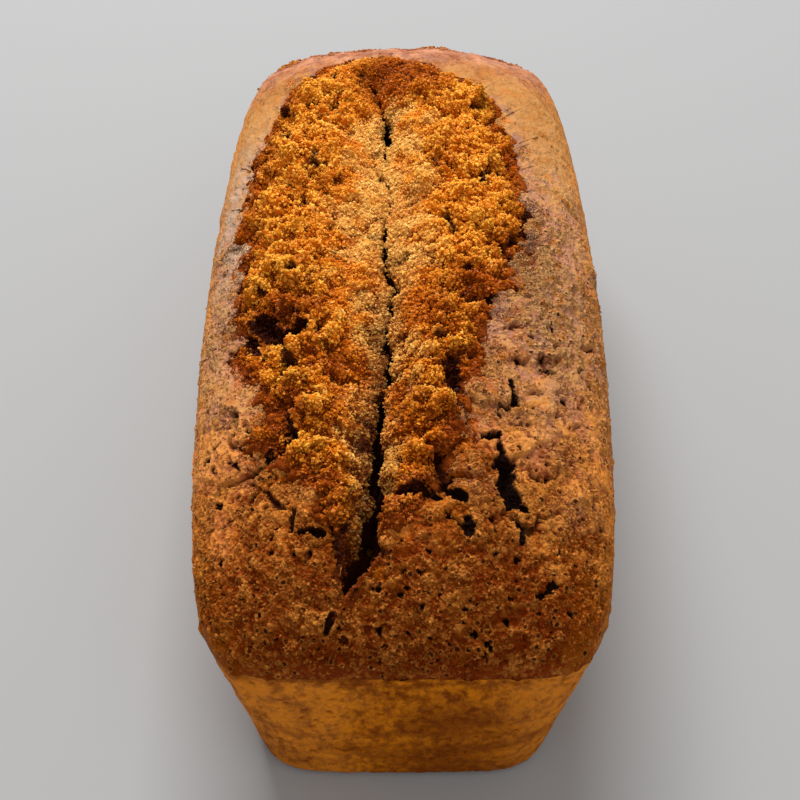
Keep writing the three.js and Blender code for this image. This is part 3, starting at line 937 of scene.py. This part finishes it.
def make_top_crust(form):
    """The crust in two pieces, near and far, that meet on one row of points on each side."""
    field = CrustField(form)
    points = field.raised()
    values = field.values()
    quarter = CRUST_RING // 4
    pieces = []
    for name, first in (("near_crust", -quarter), ("far_crust", quarter)):
        rows = np.arange(first, first + CRUST_RING // 2 + 1) % CRUST_RING
        grid = GridMesh(points[rows], False, True, strips=4)
        grid.close_rows()
        pieces.append(grid.build(name, {key: value[rows] for key, value in values.items()}))
    return pieces


CRUMB_ROWS = 660
SKIRT_COLUMNS = 7
SKIRT_REACH = 5.0
LOBE_COLUMNS = 106
WALL_COLUMNS = 24
CRUMB_LEAN = 0.25
CRUMB_END_SHARE = 0.03
VALLEY_DEPTH = 2.0

# Layers of clumps in the crumb: size and share.
CLUMP_LAYERS = ((11.0, 0.9), (5.0, 0.8), (2.6, 0.55), (1.3, 0.25))


def lobe_height(form, across, width, side, lip_share):
    """Height of the crumb above the dome, across a lobe from the torn edge to the crack: a climb from the
    foot of the tear, a crest, and a fall to the crack that is longer on the left lobe."""
    fullness = np.minimum(width / 16.0, 1.0)
    climb = smooth_step(0.0, 0.40, across)
    fall_start, fall = (0.68, 2.0) if side == RIGHT else (0.45, 3.8)
    drop = (form.size["lobe_rise"] + fall) * smooth_step(fall_start, 1.0, across)
    foot = form.size["lip_drop"] * (0.3 + 0.7 * lip_share)
    return fullness * (form.size["lobe_rise"] * climb - foot * (1.0 - climb) - drop)


def crumb_grid(form, side):
    """One crumb lobe: each row runs from under the crust up to the torn edge, over the lobe to the lip of
    the crack, down its wall, and back underneath. The shares of each column are how far across the lobe
    it lies and the weight of its relief."""
    shares = np.linspace(0.0, 1.0, CRUMB_ROWS)
    edge, outward = form.torn_edge(side, shares)
    line, to_right = line_and_side(form.crack_line, shares)
    toward = to_right * side
    middle = flat_points(line)
    open_share = inside_ends(shares, form.CRACK_TIP_SHARE)
    sway = 1.7 * lattice_noise(middle, 8.0, 121) + 1.1 * lattice_noise(middle, 3.0, 122)
    line = line + to_right * (sway * open_share)[:, None]
    frayed = 1.0 * lattice_noise(middle, 2.2, 123 + side) + 0.5 * lattice_noise(middle, 0.9, 126 + side)
    half_width = np.maximum(form.crack_half_width(shares) + frayed * open_share, 0.1)[:, None]
    lip = line + toward * half_width
    width = np.linalg.norm(edge - lip, axis=1)
    depth = form.crack_depth_at(shares)
    valley = VALLEY_DEPTH * smooth_step(5.0, -35.0, line[:, 1]) * open_share

    def lobe_level(plan, across):
        height = lobe_height(form, across, width, side, form.lip_share(shares))
        return form.dome(plan) + height - valley * smooth_step(0.55, 1.0, across)

    columns = GridColumns()
    foot = lobe_level(edge, 0.0)
    for skirt in np.linspace(1.0, 0.0, SKIRT_COLUMNS, endpoint=False):
        plan = edge + outward * (SKIRT_REACH * skirt)
        columns.add(plan, np.minimum(foot, form.dome(plan) - 0.2) - 4.0 * skirt, 0.0, 1.0 - skirt)
    for across in np.linspace(0.0, 1.0, LOBE_COLUMNS):
        plan = lerp(edge, lip, across)
        columns.add(plan, lobe_level(plan, across), across, 1.0)
    lip_level = lobe_level(lip, 1.0)
    for sink in np.linspace(0.0, 1.0, WALL_COLUMNS)[1:]:
        plan = line + toward * (half_width * (1.0 - 0.85 * sink ** 2) + 0.12 * (1.0 - sink))
        columns.add(plan, lip_level - depth * sink ** 0.8 - 0.6 * sink, 1.0, 1.0 - 0.6 * sink)
    for back in (0.15, 0.6, 1.0):
        columns.add(lerp(line, edge + outward * SKIRT_REACH, back), lip_level - 15.0, 1.0 - back, 0.0)
    return *columns.finished(), shares, width


def crumb_relief(points, clumped):
    """Relief of torn crumb: lumps, layers of the distance from zero of bent noise as rounded clumps with
    creases between them, and hollows. Also returns how far down each place lies in the creases, and the
    pockets, both later darkened with painted shade."""
    warp = np.stack([layered_noise(points, 6.0, seed) for seed in (91, 92, 93)], axis=1)
    bent = points + 2.5 * warp
    lumps = 2.6 * layered_noise(points, 14.0, 101)
    clumps = sum(share * np.abs(lattice_noise(bent, size, 105)) for size, share in CLUMP_LAYERS)
    hollow_painted_dark = smooth_step(0.28, 0.60, lattice_noise(bent, 5.0, 107))
    relief = lumps + clumped * (6.2 * (clumps - 0.55) - 2.6 * hollow_painted_dark)
    crease = smooth_step(0.60, 0.25, clumps) + 0.5 * smooth_step(0.0, -1.2, lumps)
    # pockets between the clumps are where painted shade darkens the crumb
    pocket = np.maximum(hollow_painted_dark, 0.7 * smooth_step(0.36, 0.16, clumps))
    return relief, unit(crease * (0.3 + 0.7 * clumped)), pocket * clumped


class CrumbField(Field):
    """One crumb lobe, with how far each of its points lies from the torn edge and from the crack."""

    def __init__(self, form, side):
        points, across, self.weights, self.shares, width = crumb_grid(form, side)
        super().__init__(form, points)
        self.side = side
        width = np.repeat(width, self.shape[1])
        self.from_edge = width * self.over_rows(across)
        self.from_lip = width - self.from_edge
        self.zone = self.over_rows(across) + 0.22 * self.layers(9.0, 115)
        self.ragged = 3.0 * self.layers(5.0, 117)
        self.bowl = form.lump_rise(self.plan)

    def raised(self):
        """The points moved out by the relief, which is calmer by the torn edge and the crack, and leans
        towards the near end. At the two ends of the lobe it is upright, so that both lobes meet in one
        line. It also notes the creases and pockets for painted shade, and the crests for painted light."""
        clumped = 1.0 - 0.65 * smooth_step(0.45, 0.85, self.zone)
        relief, self.crease, self.pocket = crumb_relief(self.flat, clumped)
        sink, _, self.painted_cavity_shade = self.form.cavities(self.plan)
        inside = smooth_step(0.0, 5.0, self.from_lip)
        relief = lerp(np.minimum(relief, 0.2) * 0.5, relief, inside)
        relief = lerp(np.clip(relief, -0.6, 1.2), relief, smooth_step(0.0, 5.0, self.from_edge))
        relief = (relief + self.bowl) * self.along(92.0, 60.0) - sink
        relief = relief.reshape(self.shape)
        # painted light: crests of the relief are painted paler and dips darker
        self.crest = 0.5 + 0.45 * peaks(relief, 7, False).ravel()
        ends = inside_ends(self.shares, CRUMB_END_SHARE)
        normals = grid_normals(self.points, False, True) * self.side
        normals = lerp(np.array([0.0, 0.0, 1.0]), normals, ends[:, None, None])
        push = relief * self.weights
        points = self.moved(normals, push)
        points[..., 1] -= CRUMB_LEAN * ends[:, None] * inside.reshape(self.shape) * push
        return points

    def browned(self):
        """How far the crumb has browned: in some places, and along the torn edge."""
        browned = self.form.spread(self.plan + self.ragged[:, None], BROWNED)
        return np.maximum(browned, 0.95 * smooth_step(7.0, 1.5, self.from_edge + self.ragged))

    def painted_shade(self, browned, below_lip):
        """Painted shade of the crumb: how dark it is painted in pockets, cavities, bowls and browned
        creases, where shade falls, in a painted shaded valley beside the crack, most on the near half of
        the left lobe, and down the wall of the crack."""
        # painted shade beside the crack, strongest on the near half of the left lobe
        near_half = self.along(5.0, -35.0)
        shaded = lerp(0.22, 0.55 if self.side == LEFT else 0.25, near_half)
        valley = shaded * smooth_step(lerp(5.0, 8.0, near_half), 1.0, self.from_lip + self.ragged)
        painted_shade = np.maximum(0.8 * self.pocket, self.painted_cavity_shade) + 0.35 * smooth_step(0.5, 2.5, -self.bowl)
        painted_shade = painted_shade + 0.35 * browned * self.crease + valley
        return np.maximum(painted_shade, self.over_rows(smooth_step(0.0, 0.35, below_lip)))

    def cover(self, below_lip):
        """How densely grains lie: over the lobe, and down into the crack where it gapes."""
        over_edge = (np.arange(self.shape[1]) - SKIRT_COLUMNS) / 3.0
        gaping = smooth_step(0.9, 1.6, self.form.crack_half_width(self.shares))[:, None]
        on_lobe = lerp(smooth_step(0.03, -0.05, below_lip), smooth_step(0.3, 0.05, below_lip), gaping)
        return (smooth_step(0.0, 1.0, over_edge) * on_lobe).ravel()

    def values(self):
        """Colour values of the lobe, once it is raised."""
        below_lip = (np.arange(self.shape[1]) - SKIRT_COLUMNS - LOBE_COLUMNS) / WALL_COLUMNS
        baked_from = -72.0 if self.side == RIGHT else -90.0
        baked = smooth_step(baked_from, baked_from - 16.0, self.y + 12.0 * self.layers(12.0, 116))
        browned = self.browned()
        # painted light: paler on the far half, and painted shade on the near half
        crest = self.crest + 0.14 * self.along(-20.0, 45.0)
        crest = crest - 0.33 * self.along(5.0, -60.0)
        values = {
            "crest": unit(crest), "crease": self.crease,
            "painted_shade": unit(self.painted_shade(browned, below_lip)),
            "zone": unit(self.zone), "browned": browned, "baked": baked,
            "cover": self.cover(below_lip) * (1.0 - 0.3 * baked),
        }
        return self.on_grid(values)


def make_crumb(form, side):
    field = CrumbField(form, side)
    grid = GridMesh(field.raised()[::side], False, True, strips=3)
    grid.close_rows()
    name = "crumb_right" if side == RIGHT else "crumb_left"
    return grid.build(name, {key: value[::side] for key, value in field.values().items()})


# Grains: the piece they cover, their name, how many, the seed of their chance, radius of the smallest and
# what the largest add to it as shares of the grain size, and their thickness as a share of their width.
GRAIN_KINDS = (
    ("crumb_right", "grains_right", 24000, 23, 0.24, 0.32, 1.0),
    ("crumb_left", "grains_left", 24000, 29, 0.24, 0.32, 1.0),
    ("near_crust", "crust_grains", 16000, 31, 0.22, 0.30, 0.7),
    ("far_crust", "far_crust_grains", 12000, 37, 0.20, 0.30, 0.6),
)
SHARD_CORNERS = np.array([(1, 0, 0), (-1, 0, 0), (0, 1, 0), (0, -1, 0), (0, 0, 1), (0, 0, -1)], float)
SHARD_FACES = np.array([
    (0, 2, 4), (2, 1, 4), (1, 3, 4), (3, 0, 4), (2, 0, 5), (1, 2, 5), (3, 1, 5), (0, 3, 5)])


def random_turns(chance, count):
    """Turning matrices spread evenly over all directions, from random unit quaternions."""
    turns = chance.normal(size=(4, count))
    w, x, y, z = turns / np.linalg.norm(turns, axis=0)
    return np.stack([
        np.stack([1 - 2 * (y * y + z * z), 2 * (x * y - z * w), 2 * (x * z + y * w)], axis=1),
        np.stack([2 * (x * y + z * w), 1 - 2 * (x * x + z * z), 2 * (y * z - x * w)], axis=1),
        np.stack([2 * (x * z - y * w), 2 * (y * z + x * w), 1 - 2 * (x * x + y * y)], axis=1)], axis=1)


def read_values(items, key, width, kind=np.float32):
    """One property of a mesh's items as an array."""
    values = np.empty(len(items) * width, kind)
    items.foreach_get(key, values)
    return values.reshape(len(items), width)


def face_values(mesh):
    """Every value of a finished piece, read at one corner of each of its faces."""
    starts = read_values(mesh.polygons, "loop_start", 1, np.int32)[:, 0]
    corner = read_values(mesh.loops, "vertex_index", 1, np.int32)[starts, 0]
    return {item.name: read_values(item.data, "value", 1)[corner, 0]
            for item in mesh.attributes if item.domain == "POINT" and item.data_type == "FLOAT"}


def make_grains(covered, name, count, seed, smallest, spread, thickness):
    """Grains that cover a finished piece: eight-sided shards with corners moved and turned at random, on
    random faces of the piece, where large faces and well covered ones hold more grains."""
    mesh = bpy.data.objects[covered].data
    chance = np.random.default_rng(seed)
    covered_values = face_values(mesh)
    likely = read_values(mesh.polygons, "area", 1)[:, 0].astype(float) * covered_values.pop("cover")
    chosen = chance.choice(len(likely), count, p=likely / likely.sum())
    spots = read_values(mesh.polygons, "center", 3)[chosen] / MM
    upward = read_values(mesh.polygons, "normal", 3)[chosen]

    corners = len(SHARD_CORNERS)
    radius = sizes_in_millimetres()["grain_size"] * (smallest + spread * chance.random(count) ** 2)
    stretch = 0.55 + 0.75 * chance.random((count, 1, 3))
    shards = (SHARD_CORNERS + 0.5 * (chance.random((count, corners, 3)) - 0.5)) * stretch
    shards = np.einsum("gij,gcj->gci", random_turns(chance, count), shards)
    height = np.einsum("gci,gi->gc", shards, upward)
    shards = shards - (1.0 - thickness) * height[..., None] * upward[:, None]
    spots = spots + upward * (0.35 * thickness * radius)[:, None]
    spots = spots + 0.5 * thickness * (chance.random((count, 3)) - 0.5)
    points = spots[:, None] + shards * radius[:, None, None]
    triangles = SHARD_FACES + corners * np.arange(count)[:, None, None]
    per_row = math.ceil(math.sqrt(count))
    cell = np.stack([np.arange(count) % per_row, np.arange(count) // per_row], axis=1)
    uv = (cell[:, None] + 0.5 + 0.3 * SHARD_CORNERS[:, :2]) / per_row
    values = {key: np.repeat(value[chosen], corners) for key, value in covered_values.items()}
    values["shade"] = np.repeat(chance.random(count), corners)
    # painted light: the upper corners of each grain are painted paler and the lower ones darker
    values["tip"] = unit(0.5 + 0.5 * height).ravel()
    # painted light: the upper corners of crust grains are painted paler
    if "painted_peak_light" in values:
        values["painted_peak_light"] = unit(values["painted_peak_light"] + 0.6 * (values["tip"] - 0.5))
    return new_piece(
        name, points.reshape(-1, 3), np.zeros((0, 4), int), triangles.reshape(-1, 3),
        uv[:, SHARD_FACES].reshape(-1, 2), values)


class Wire:
    """One output socket of a material's nodes. Arithmetic on wires adds Math nodes."""

    def __init__(self, tree, socket=None):
        self.tree = tree
        self.socket = socket

    def node(self, kind, settings, inputs, output=0):
        """Adds a node of any kind, sets it up, feeds its inputs and returns one of its outputs."""
        made = self.tree.nodes.new(kind)
        for key, value in settings.items():
            setattr(made, key, value)
        for key, value in inputs.items():
            if isinstance(value, Wire):
                self.tree.links.new(value.socket, made.inputs[key])
            else:
                made.inputs[key].default_value = value
        return Wire(self.tree, made.outputs[output] if made.outputs else None)

    def math(self, operation, *values):
        return self.node("ShaderNodeMath", {"operation": operation}, dict(enumerate(values)))

    def __add__(self, other):
        return self.math("ADD", self, other)

    __radd__ = __add__

    def __sub__(self, other):
        return self.math("SUBTRACT", self, other)

    def __rsub__(self, other):
        return self.math("SUBTRACT", other, self)

    def __mul__(self, other):
        return self.math("MULTIPLY", self, other)

    __rmul__ = __mul__

    def clamped(self):
        return self.node("ShaderNodeClamp", {}, {"Value": self})

    def between(self, low, high):
        """0 below low, 1 above high, smooth between."""
        settings = {"interpolation_type": "SMOOTHSTEP"}
        return self.node("ShaderNodeMapRange", settings, {"Value": self, 1: low, 2: high, 3: 0.0, 4: 1.0})

    def attribute(self, name):
        return self.node("ShaderNodeAttribute", {"attribute_name": name}, {}, "Fac")

    def place(self):
        return self.node("ShaderNodeTexCoord", {}, {}, "Object")

    def noise(self, size, detail=3.0, roughness=0.55, tall=1.0):
        """Noise of about this grain size in metres, from 0 to 1, on the piece's own coordinates; its
        grains can be taller than wide."""
        scaling = {0: self.place(), 1: (1, 1, 1 / tall)}
        place = self.node("ShaderNodeVectorMath", {"operation": "MULTIPLY"}, scaling)
        inputs = {"Vector": place, "Scale": 1.0 / size, "Detail": detail, "Roughness": roughness}
        return self.node("ShaderNodeTexNoise", {}, inputs, "Fac")

    def granules(self, size):
        """Rounded granules of about this size in metres: about 1 at their tops and 0 between them."""
        settings = {"feature": "SMOOTH_F1"}
        inputs = {"Vector": self.place(), "Scale": 1.0 / size, "Smoothness": 0.35}
        return 1.0 - 1.3 * self.node("ShaderNodeTexVoronoi", settings, inputs, "Distance")

    def pits(self, spacing, share, ragged):
        """Small pits at scattered points, in this share of cells of this size in metres: 1 inside them,
        and 1 on the raised rings round them."""
        inputs = {"Vector": self.place(), "Scale": 1.0 / spacing}
        gap = self.node("ShaderNodeTexVoronoi", {}, inputs, "Distance") + ragged
        tint = self.node("ShaderNodeTexVoronoi", {}, inputs, "Color")
        chance = self.node("ShaderNodeSeparateColor", {}, {"Color": tint}, "Red")
        present = chance.between(1.0 - share, 1.05 - share)
        inside = (1.0 - gap.between(0.14, 0.28)) * present
        return inside, (1.0 - gap.between(0.32, 0.50)) * present - inside

    def mix(self, factor, first, second):
        """One colour turning into another as the factor goes from 0 to 1."""
        inputs = {0: factor, 6: opaque(first), 7: opaque(second)}
        return self.node("ShaderNodeMix", {"data_type": "RGBA"}, inputs, 2)

    def covered(self, *layers):
        """This colour with others laid over it in turn, each a colour and the share that it covers."""
        colour = self
        for other, share in layers:
            colour = self.mix(share, colour, other)
        return colour

    def bump(self, strength, distance):
        """A normal bent by this height."""
        inputs = {"Height": self, "Strength": strength, "Distance": distance}
        return self.node("ShaderNodeBump", {}, inputs, "Normal")


def opaque(colour):
    """A plain colour with full alpha. A wire stays as it is."""
    return colour if isinstance(colour, Wire) else (*colour, 1.0)


def new_material(name):
    """A material with an empty tree, and a wire to start from."""
    material = bpy.data.materials.new(name)
    material.use_nodes = True
    material.node_tree.nodes.clear()
    return material, Wire(material.node_tree)


def finish_material(start, inputs):
    """Adds the surface shader, with constant values on its own sockets, and the material's output."""
    shader = start.node("ShaderNodeBsdfPrincipled", {}, inputs, "BSDF")
    start.node("ShaderNodeOutputMaterial", {}, {"Surface": shader})


def golden_colour(start, colours, pale=0.0):
    """Gold mottled with brown, for the wall and the foot of the crust. Where painted light pales it,
    it has less brown.
    """
    patches = start.noise(0.0060, 2.0, 0.5, 1.9).between(0.34, 0.66)
    freckles = start.noise(0.0019, 3.0, 0.6, 1.9).between(0.38, 0.64)
    mottled = (0.45 * patches + 0.55 * freckles - 0.10 - pale).clamped()
    return start.mix(mottled, colours.side_gold, colours.side_brown)


def tin_side_material(colours):
    material, start = new_material("tin_side_crust")
    pale = start.attribute("pale")
    border = start.attribute("crust") * start.noise(0.0032, 3.0, 0.6).between(0.30, 0.62)
    crust = start.mix(start.attribute("far"), colours.side_brown, colours.crust_gilt)
    # painted light by the corners: less brown and a little pale cream
    colour = golden_colour(start, colours, 0.16 * pale).covered(
        (colours.crust_cream_highlight, pale * 0.06),
        (colours.side_brown, start.attribute("streak") * 0.75),
        # painted shade: the pits in the wall are painted brown
        (colours.side_brown, start.attribute("pit") * 0.75),
        (crust, border * 0.85),
    )
    finish_material(start, {
        "Base Color": colour,
        "Roughness": 0.6 + 0.2 * start.noise(0.003),
        "Normal": start.noise(0.0013, 4.0, 0.65, 1.9).bump(1.0, 0.0014),
        "IOR": 1.4,
        "Specular IOR Level": 0.06,
    })
    return material


def top_crust_material(colours):
    material, start = new_material("browned_top_crust")
    far = start.attribute("far")
    rough = start.attribute("rough")
    painted_peak_light = start.attribute("painted_peak_light")
    mottle = 1.3 * start.noise(0.0040, 5.0, 0.65) - 0.65
    speckle = start.noise(0.0010, 4.0, 0.7) - 0.5
    granules = start.granules(0.0010)
    pitted = (1.6 * rough - 0.5).clamped()
    # painted shade inside the pits and painted highlights on the raised rings round them
    pits, rings = start.pits(0.0021, 0.6, 0.5 * speckle)
    pits = pits * pitted
    rings = rings * pitted

    # painted shade: the crust is painted browner below its peaks and between its granules
    toast_and_shade = start.attribute("toast_and_shade") + (0.2 + 1.0 * rough) * mottle
    toast_and_shade = toast_and_shade + 0.6 * rough * speckle + 0.9 * rough * (0.5 - painted_peak_light)
    toast_and_shade = (toast_and_shade + 0.45 * rough * (0.5 - granules)).clamped()
    rusty = start.noise(0.0035, 4.0, 0.6).between(0.50, 0.62) * (0.4 + 0.6 * far) * (0.3 + 0.7 * rough)
    bare = start.attribute("crumbled") * start.noise(0.004, 4.0).between(0.46, 0.58)
    # painted sheen: a greyish reflection painted into the colour
    painted_sheen = start.attribute("painted_sheen") * start.noise(0.005, 3.0).between(0.36, 0.58)
    bruise = start.attribute("bruise") * start.noise(0.004, 3.0).between(0.40, 0.56)
    # painted highlights: pale specks on the peaks, the granule tops and the pit rings
    flecks = (speckle + 0.5).between(0.50, 0.68) * (0.5 * painted_peak_light + 0.5 * granules).between(0.35, 0.7)
    flecks = flecks * (0.05 + 1.1 * rough) + 0.4 * rings

    brown = start.mix(far, colours.crust_brown, colours.crust_tan)
    brown = start.mix(start.attribute("gilt"), brown, colours.crust_gilt)
    # painted shade: the colour painted inside the pits
    inner = start.mix(start.noise(0.006).between(0.44, 0.56), colours.grain_foot_shade, colours.pore_shade)
    colour = start.mix(far, colours.crust_fleck, colours.crust_pale).covered(
        (brown, toast_and_shade.between(0.0, 0.45)),
        (start.mix(far, colours.crust_dark, colours.crust_umber), toast_and_shade.between(0.40, 0.95)),
        (colours.crust_rust, rusty * 0.8),
        (colours.crumb_orange, bare * 0.7),
        (colours.crust_sheen, painted_sheen * 0.8),
        (colours.crust_bruise, bruise * 0.75),
        (colours.side_gold, start.attribute("golden") * 0.5),
        (golden_colour(start, colours), (1.0 - start.attribute("crust")) * 0.9),
        (start.mix(far, colours.crust_fleck, colours.crust_cream_highlight), flecks.clamped()),
        (colours.crumb_red, start.attribute("torn") * 0.8),
        (inner, pits * 0.9),
        # painted shade: pores, gaps and cavities painted near black
        (colours.pore_shade, start.attribute("hollow_painted_dark").between(0.15, 0.9)),
    )
    grain = rough * rough * (2.2 * speckle + 1.2 * granules)
    finish_material(start, {
        "Base Color": colour,
        "Roughness": 0.50 + 0.25 * start.noise(0.002),
        # the coat adds real gloss where the sheen is painted
        "Coat Weight": painted_sheen * 0.35,
        "Coat Roughness": 0.4,
        "Normal": (grain - 1.5 * pits + 0.6 * rings).bump(1.0, 0.0010),
        "IOR": 1.4,
        "Specular IOR Level": 0.08,
    })
    return material


CRUMB_SURFACE = {
    "IOR": 1.38, "Specular IOR Level": 0.1, "Subsurface Weight": 0.2, "Subsurface Scale": 0.0012,
    "Subsurface Radius": (1.0, 0.35, 0.08),
}


def crumb_colour(start, colours, light_and_tone):
    """Golden on the lobe, red-brown where it has browned, cream beside the crack, like crust at the near
    end, with painted shade: orange in creases and dark in hollows. The light and tone value, painted light
    and random tone from 0 to 1, takes each from its dark foot of painted shade to its pale tip of painted
    highlight."""
    baked = start.attribute("baked")
    browned = (start.attribute("browned") + 0.8 * (start.noise(0.004, 3.0) - 0.5)).clamped()
    patches = start.noise(0.009, 3.0, 0.5).between(0.42, 0.60)
    moist = (start.attribute("zone") - 0.25 * patches - 0.5 * browned).between(0.45, 0.85)
    # painted shade: the creases of the lobes are painted orange
    body = start.mix(start.attribute("crease"), colours.crumb_gold, colours.crumb_orange).covered(
        (colours.crumb_orange, patches * 0.7),
        (colours.crumb_cream, moist * 0.5),
        (colours.crumb_red, browned),
        (colours.crust_brown, baked * 0.8),
    )
    tip = start.mix(moist, colours.grain_tip_highlight, colours.crumb_cream).covered(
        (colours.crumb_orange, (patches * 0.25 + browned * 0.85).clamped()),
        (colours.crumb_red, browned * 0.45),
        (colours.crust_fleck, baked * 0.7),
    )
    light_and_tone = light_and_tone - 0.2 * browned
    return start.mix(light_and_tone.between(0.0, 0.45), colours.grain_foot_shade, body).covered(
        (tip, light_and_tone.between(0.45, 1.0)),
        # painted shade over pockets, cavities, the shaded valley and the crack wall
        (colours.crumb_hollow_shade, start.attribute("painted_shade").between(0.1, 0.9)),
    )


def crumb_material(colours):
    material, start = new_material("torn_crumb")
    speckle = start.noise(0.0009, 3.0, 0.7)
    # painted light on the crests, with random speckle
    light_and_tone = (0.5 * start.attribute("crest") + 0.8 * (speckle - 0.5)).clamped()
    finish_material(start, {
        "Base Color": crumb_colour(start, colours, light_and_tone),
        "Roughness": 0.7,
        "Normal": speckle.bump(1.0, 0.0010),
        **CRUMB_SURFACE,
    })
    return material


def grain_material(colours):
    material, start = new_material("crumb_grains")
    # painted light on each grain's top; shade is random tone per grain; painted light on the crests
    own = 0.80 * start.attribute("tip") + 0.35 * start.attribute("shade")
    light_and_tone = (own + 0.8 * start.attribute("crest") - 0.42).clamped()
    surface = {**CRUMB_SURFACE, "Roughness": 0.38, "Specular IOR Level": 0.14}
    finish_material(start, {"Base Color": crumb_colour(start, colours, light_and_tone), **surface})
    return material


def dress(piece, material):
    """Gives a finished piece its material and its place on the loaf."""
    piece.data.materials.append(material)
    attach(piece, BODY)
    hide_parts(NODE)


class LOAF_OT_tin_side(Operator):
    """Make the wall and base that baked against the tin"""

    bl_idname = "loaf.tin_side"
    bl_label = "Tin side"

    def execute(self, context):
        dress(make_tin_side(LoafForm()), tin_side_material(context.scene.loaf_colours))
        return {"FINISHED"}


class LOAF_OT_top_crust(Operator):
    """Make the browned crust of the top, out to its torn edge"""

    bl_idname = "loaf.top_crust"
    bl_label = "Top crust"

    def execute(self, context):
        material = top_crust_material(context.scene.loaf_colours)
        for piece in make_top_crust(LoafForm()):
            dress(piece, material)
        return {"FINISHED"}


class LOAF_OT_crumb(Operator):
    """Make the two lobes of torn crumb on either side of the crack"""

    bl_idname = "loaf.crumb"
    bl_label = "Torn crumb"

    def execute(self, context):
        form = LoafForm()
        material = crumb_material(context.scene.loaf_colours)
        for side in (RIGHT, LEFT):
            dress(make_crumb(form, side), material)
        return {"FINISHED"}


class LOAF_OT_grains(Operator):
    """Make the grains of the torn crumb and of the rough crust, once those are made"""

    bl_idname = "loaf.grains"
    bl_label = "Crumb grains"

    def execute(self, context):
        crumb = grain_material(context.scene.loaf_colours)
        crust = bpy.data.objects["near_crust"].data.materials[0]
        for kind in GRAIN_KINDS:
            on_crust = kind[0].endswith("crust")
            dress(make_grains(*kind), crust if on_crust else crumb)
        return {"FINISHED"}


CAMERA_ELEVATION = 46.0
CAMERA_DISTANCE = 0.440
CAMERA_TARGET = (-0.0008, -0.0052, 0.035)
CAMERA_FOCAL_PIXELS = 1578.0
IMAGE_PIXELS = 800
SENSOR_WIDTH = 36.0

# Lamps: name, place, size and watts. All lengths of the stage are in metres.
LAMPS = (("key", (-0.14, 0.66, 1.05), 0.7, 20.0), ("fill", (0.3, -0.9, 1.2), 1.2, 6.0))
LAMP_TARGET = (0.0, 0.0, 0.05)
WORLD_STRENGTH = 0.40
FLOOR_HALF_SIZE = 4.0
FLOOR_LEVEL = -0.0002


def add_camera(scene):
    """A camera over the near end, looking along the loaf and down on it."""
    data = bpy.data.cameras.new("camera")
    data.sensor_width = SENSOR_WIDTH
    data.lens = CAMERA_FOCAL_PIXELS / IMAGE_PIXELS * SENSOR_WIDTH
    data.clip_start = 0.01
    camera = bpy.data.objects.new("camera", data)
    angle = math.radians(CAMERA_ELEVATION)
    x, y, z = CAMERA_TARGET
    camera.location = (x, y - CAMERA_DISTANCE * math.cos(angle), z + CAMERA_DISTANCE * math.sin(angle))
    camera.rotation_euler = (math.pi / 2 - angle, 0.0, 0.0)
    scene.collection.objects.link(camera)
    scene.camera = camera


def add_soft_light(scene, name, location, size, watts):
    """A square lamp that faces the loaf."""
    data = bpy.data.lights.new(name, "AREA")
    data.size = size
    data.energy = watts
    lamp = bpy.data.objects.new(name, data)
    lamp.location = location
    aim = Vector(LAMP_TARGET) - lamp.location
    lamp.rotation_euler = aim.to_track_quat("-Z", "Y").to_euler()
    scene.collection.objects.link(lamp)


def add_floor(scene):
    """A plain square floor just under the loaf."""
    half = FLOOR_HALF_SIZE
    corners = [(-half, -half, 0), (half, -half, 0), (half, half, 0), (-half, half, 0)]
    mesh = bpy.data.meshes.new("floor")
    mesh.from_pydata(corners, [], [(0, 1, 2, 3)])
    material, start = new_material("plain_floor")
    grey = opaque(scene.loaf_colours.floor_grey)
    finish_material(start, {"Base Color": grey, "Roughness": 0.9, "Specular IOR Level": 0.0})
    mesh.materials.append(material)
    floor = bpy.data.objects.new("floor", mesh)
    floor.location.z = FLOOR_LEVEL
    scene.collection.objects.link(floor)


class LOAF_OT_stage(Operator):
    """Make the plain floor, the soft light and the camera"""

    bl_idname = "loaf.stage"
    bl_label = "Stage"

    def execute(self, context):
        scene = context.scene
        add_floor(scene)
        add_camera(scene)
        for lamp in LAMPS:
            add_soft_light(scene, *lamp)
        world = bpy.data.worlds.new("studio")
        world.use_nodes = True
        background = world.node_tree.nodes["Background"]
        background.inputs["Color"].default_value = (1.0, 1.0, 1.0, 1.0)
        background.inputs["Strength"].default_value = WORLD_STRENGTH
        scene.world = world
        scene.view_settings.view_transform = "Standard"
        scene.view_settings.look = "None"
        return {"FINISHED"}


class LOAF_PT_panel(Panel):
    """Lists the loaf's pieces, sizes and colours"""

    bl_idname = "LOAF_PT_panel"
    bl_label = "Gingerbread Loaf"
    bl_space_type = "VIEW_3D"
    bl_region_type = "UI"
    bl_category = "Loaf"

    def draw(self, context):
        for operator in OPERATORS:
            self.layout.operator(operator.bl_idname)
        for values in (context.scene.loaf_sizes, context.scene.loaf_colours):
            for name in type(values).__annotations__:
                self.layout.prop(values, name)


OPERATORS = (LOAF_OT_stage, LOAF_OT_tin_side, LOAF_OT_top_crust, LOAF_OT_crumb, LOAF_OT_grains)
CLASSES = (LoafSizes, LoafColours, *OPERATORS, LOAF_PT_panel)


def register():
    for item in CLASSES:
        bpy.utils.register_class(item)
    bpy.types.Scene.loaf_sizes = PointerProperty(type=LoafSizes)
    bpy.types.Scene.loaf_colours = PointerProperty(type=LoafColours)


def unregister():
    del bpy.types.Scene.loaf_sizes
    del bpy.types.Scene.loaf_colours
    for item in reversed(CLASSES):
        bpy.utils.unregister_class(item)


def main():
    register()
    bpy.ops.loaf.stage()
    bpy.ops.loaf.tin_side()
    bpy.ops.loaf.top_crust()
    bpy.ops.loaf.crumb()
    bpy.ops.loaf.grains()


if __name__ == "__main__":
    main()
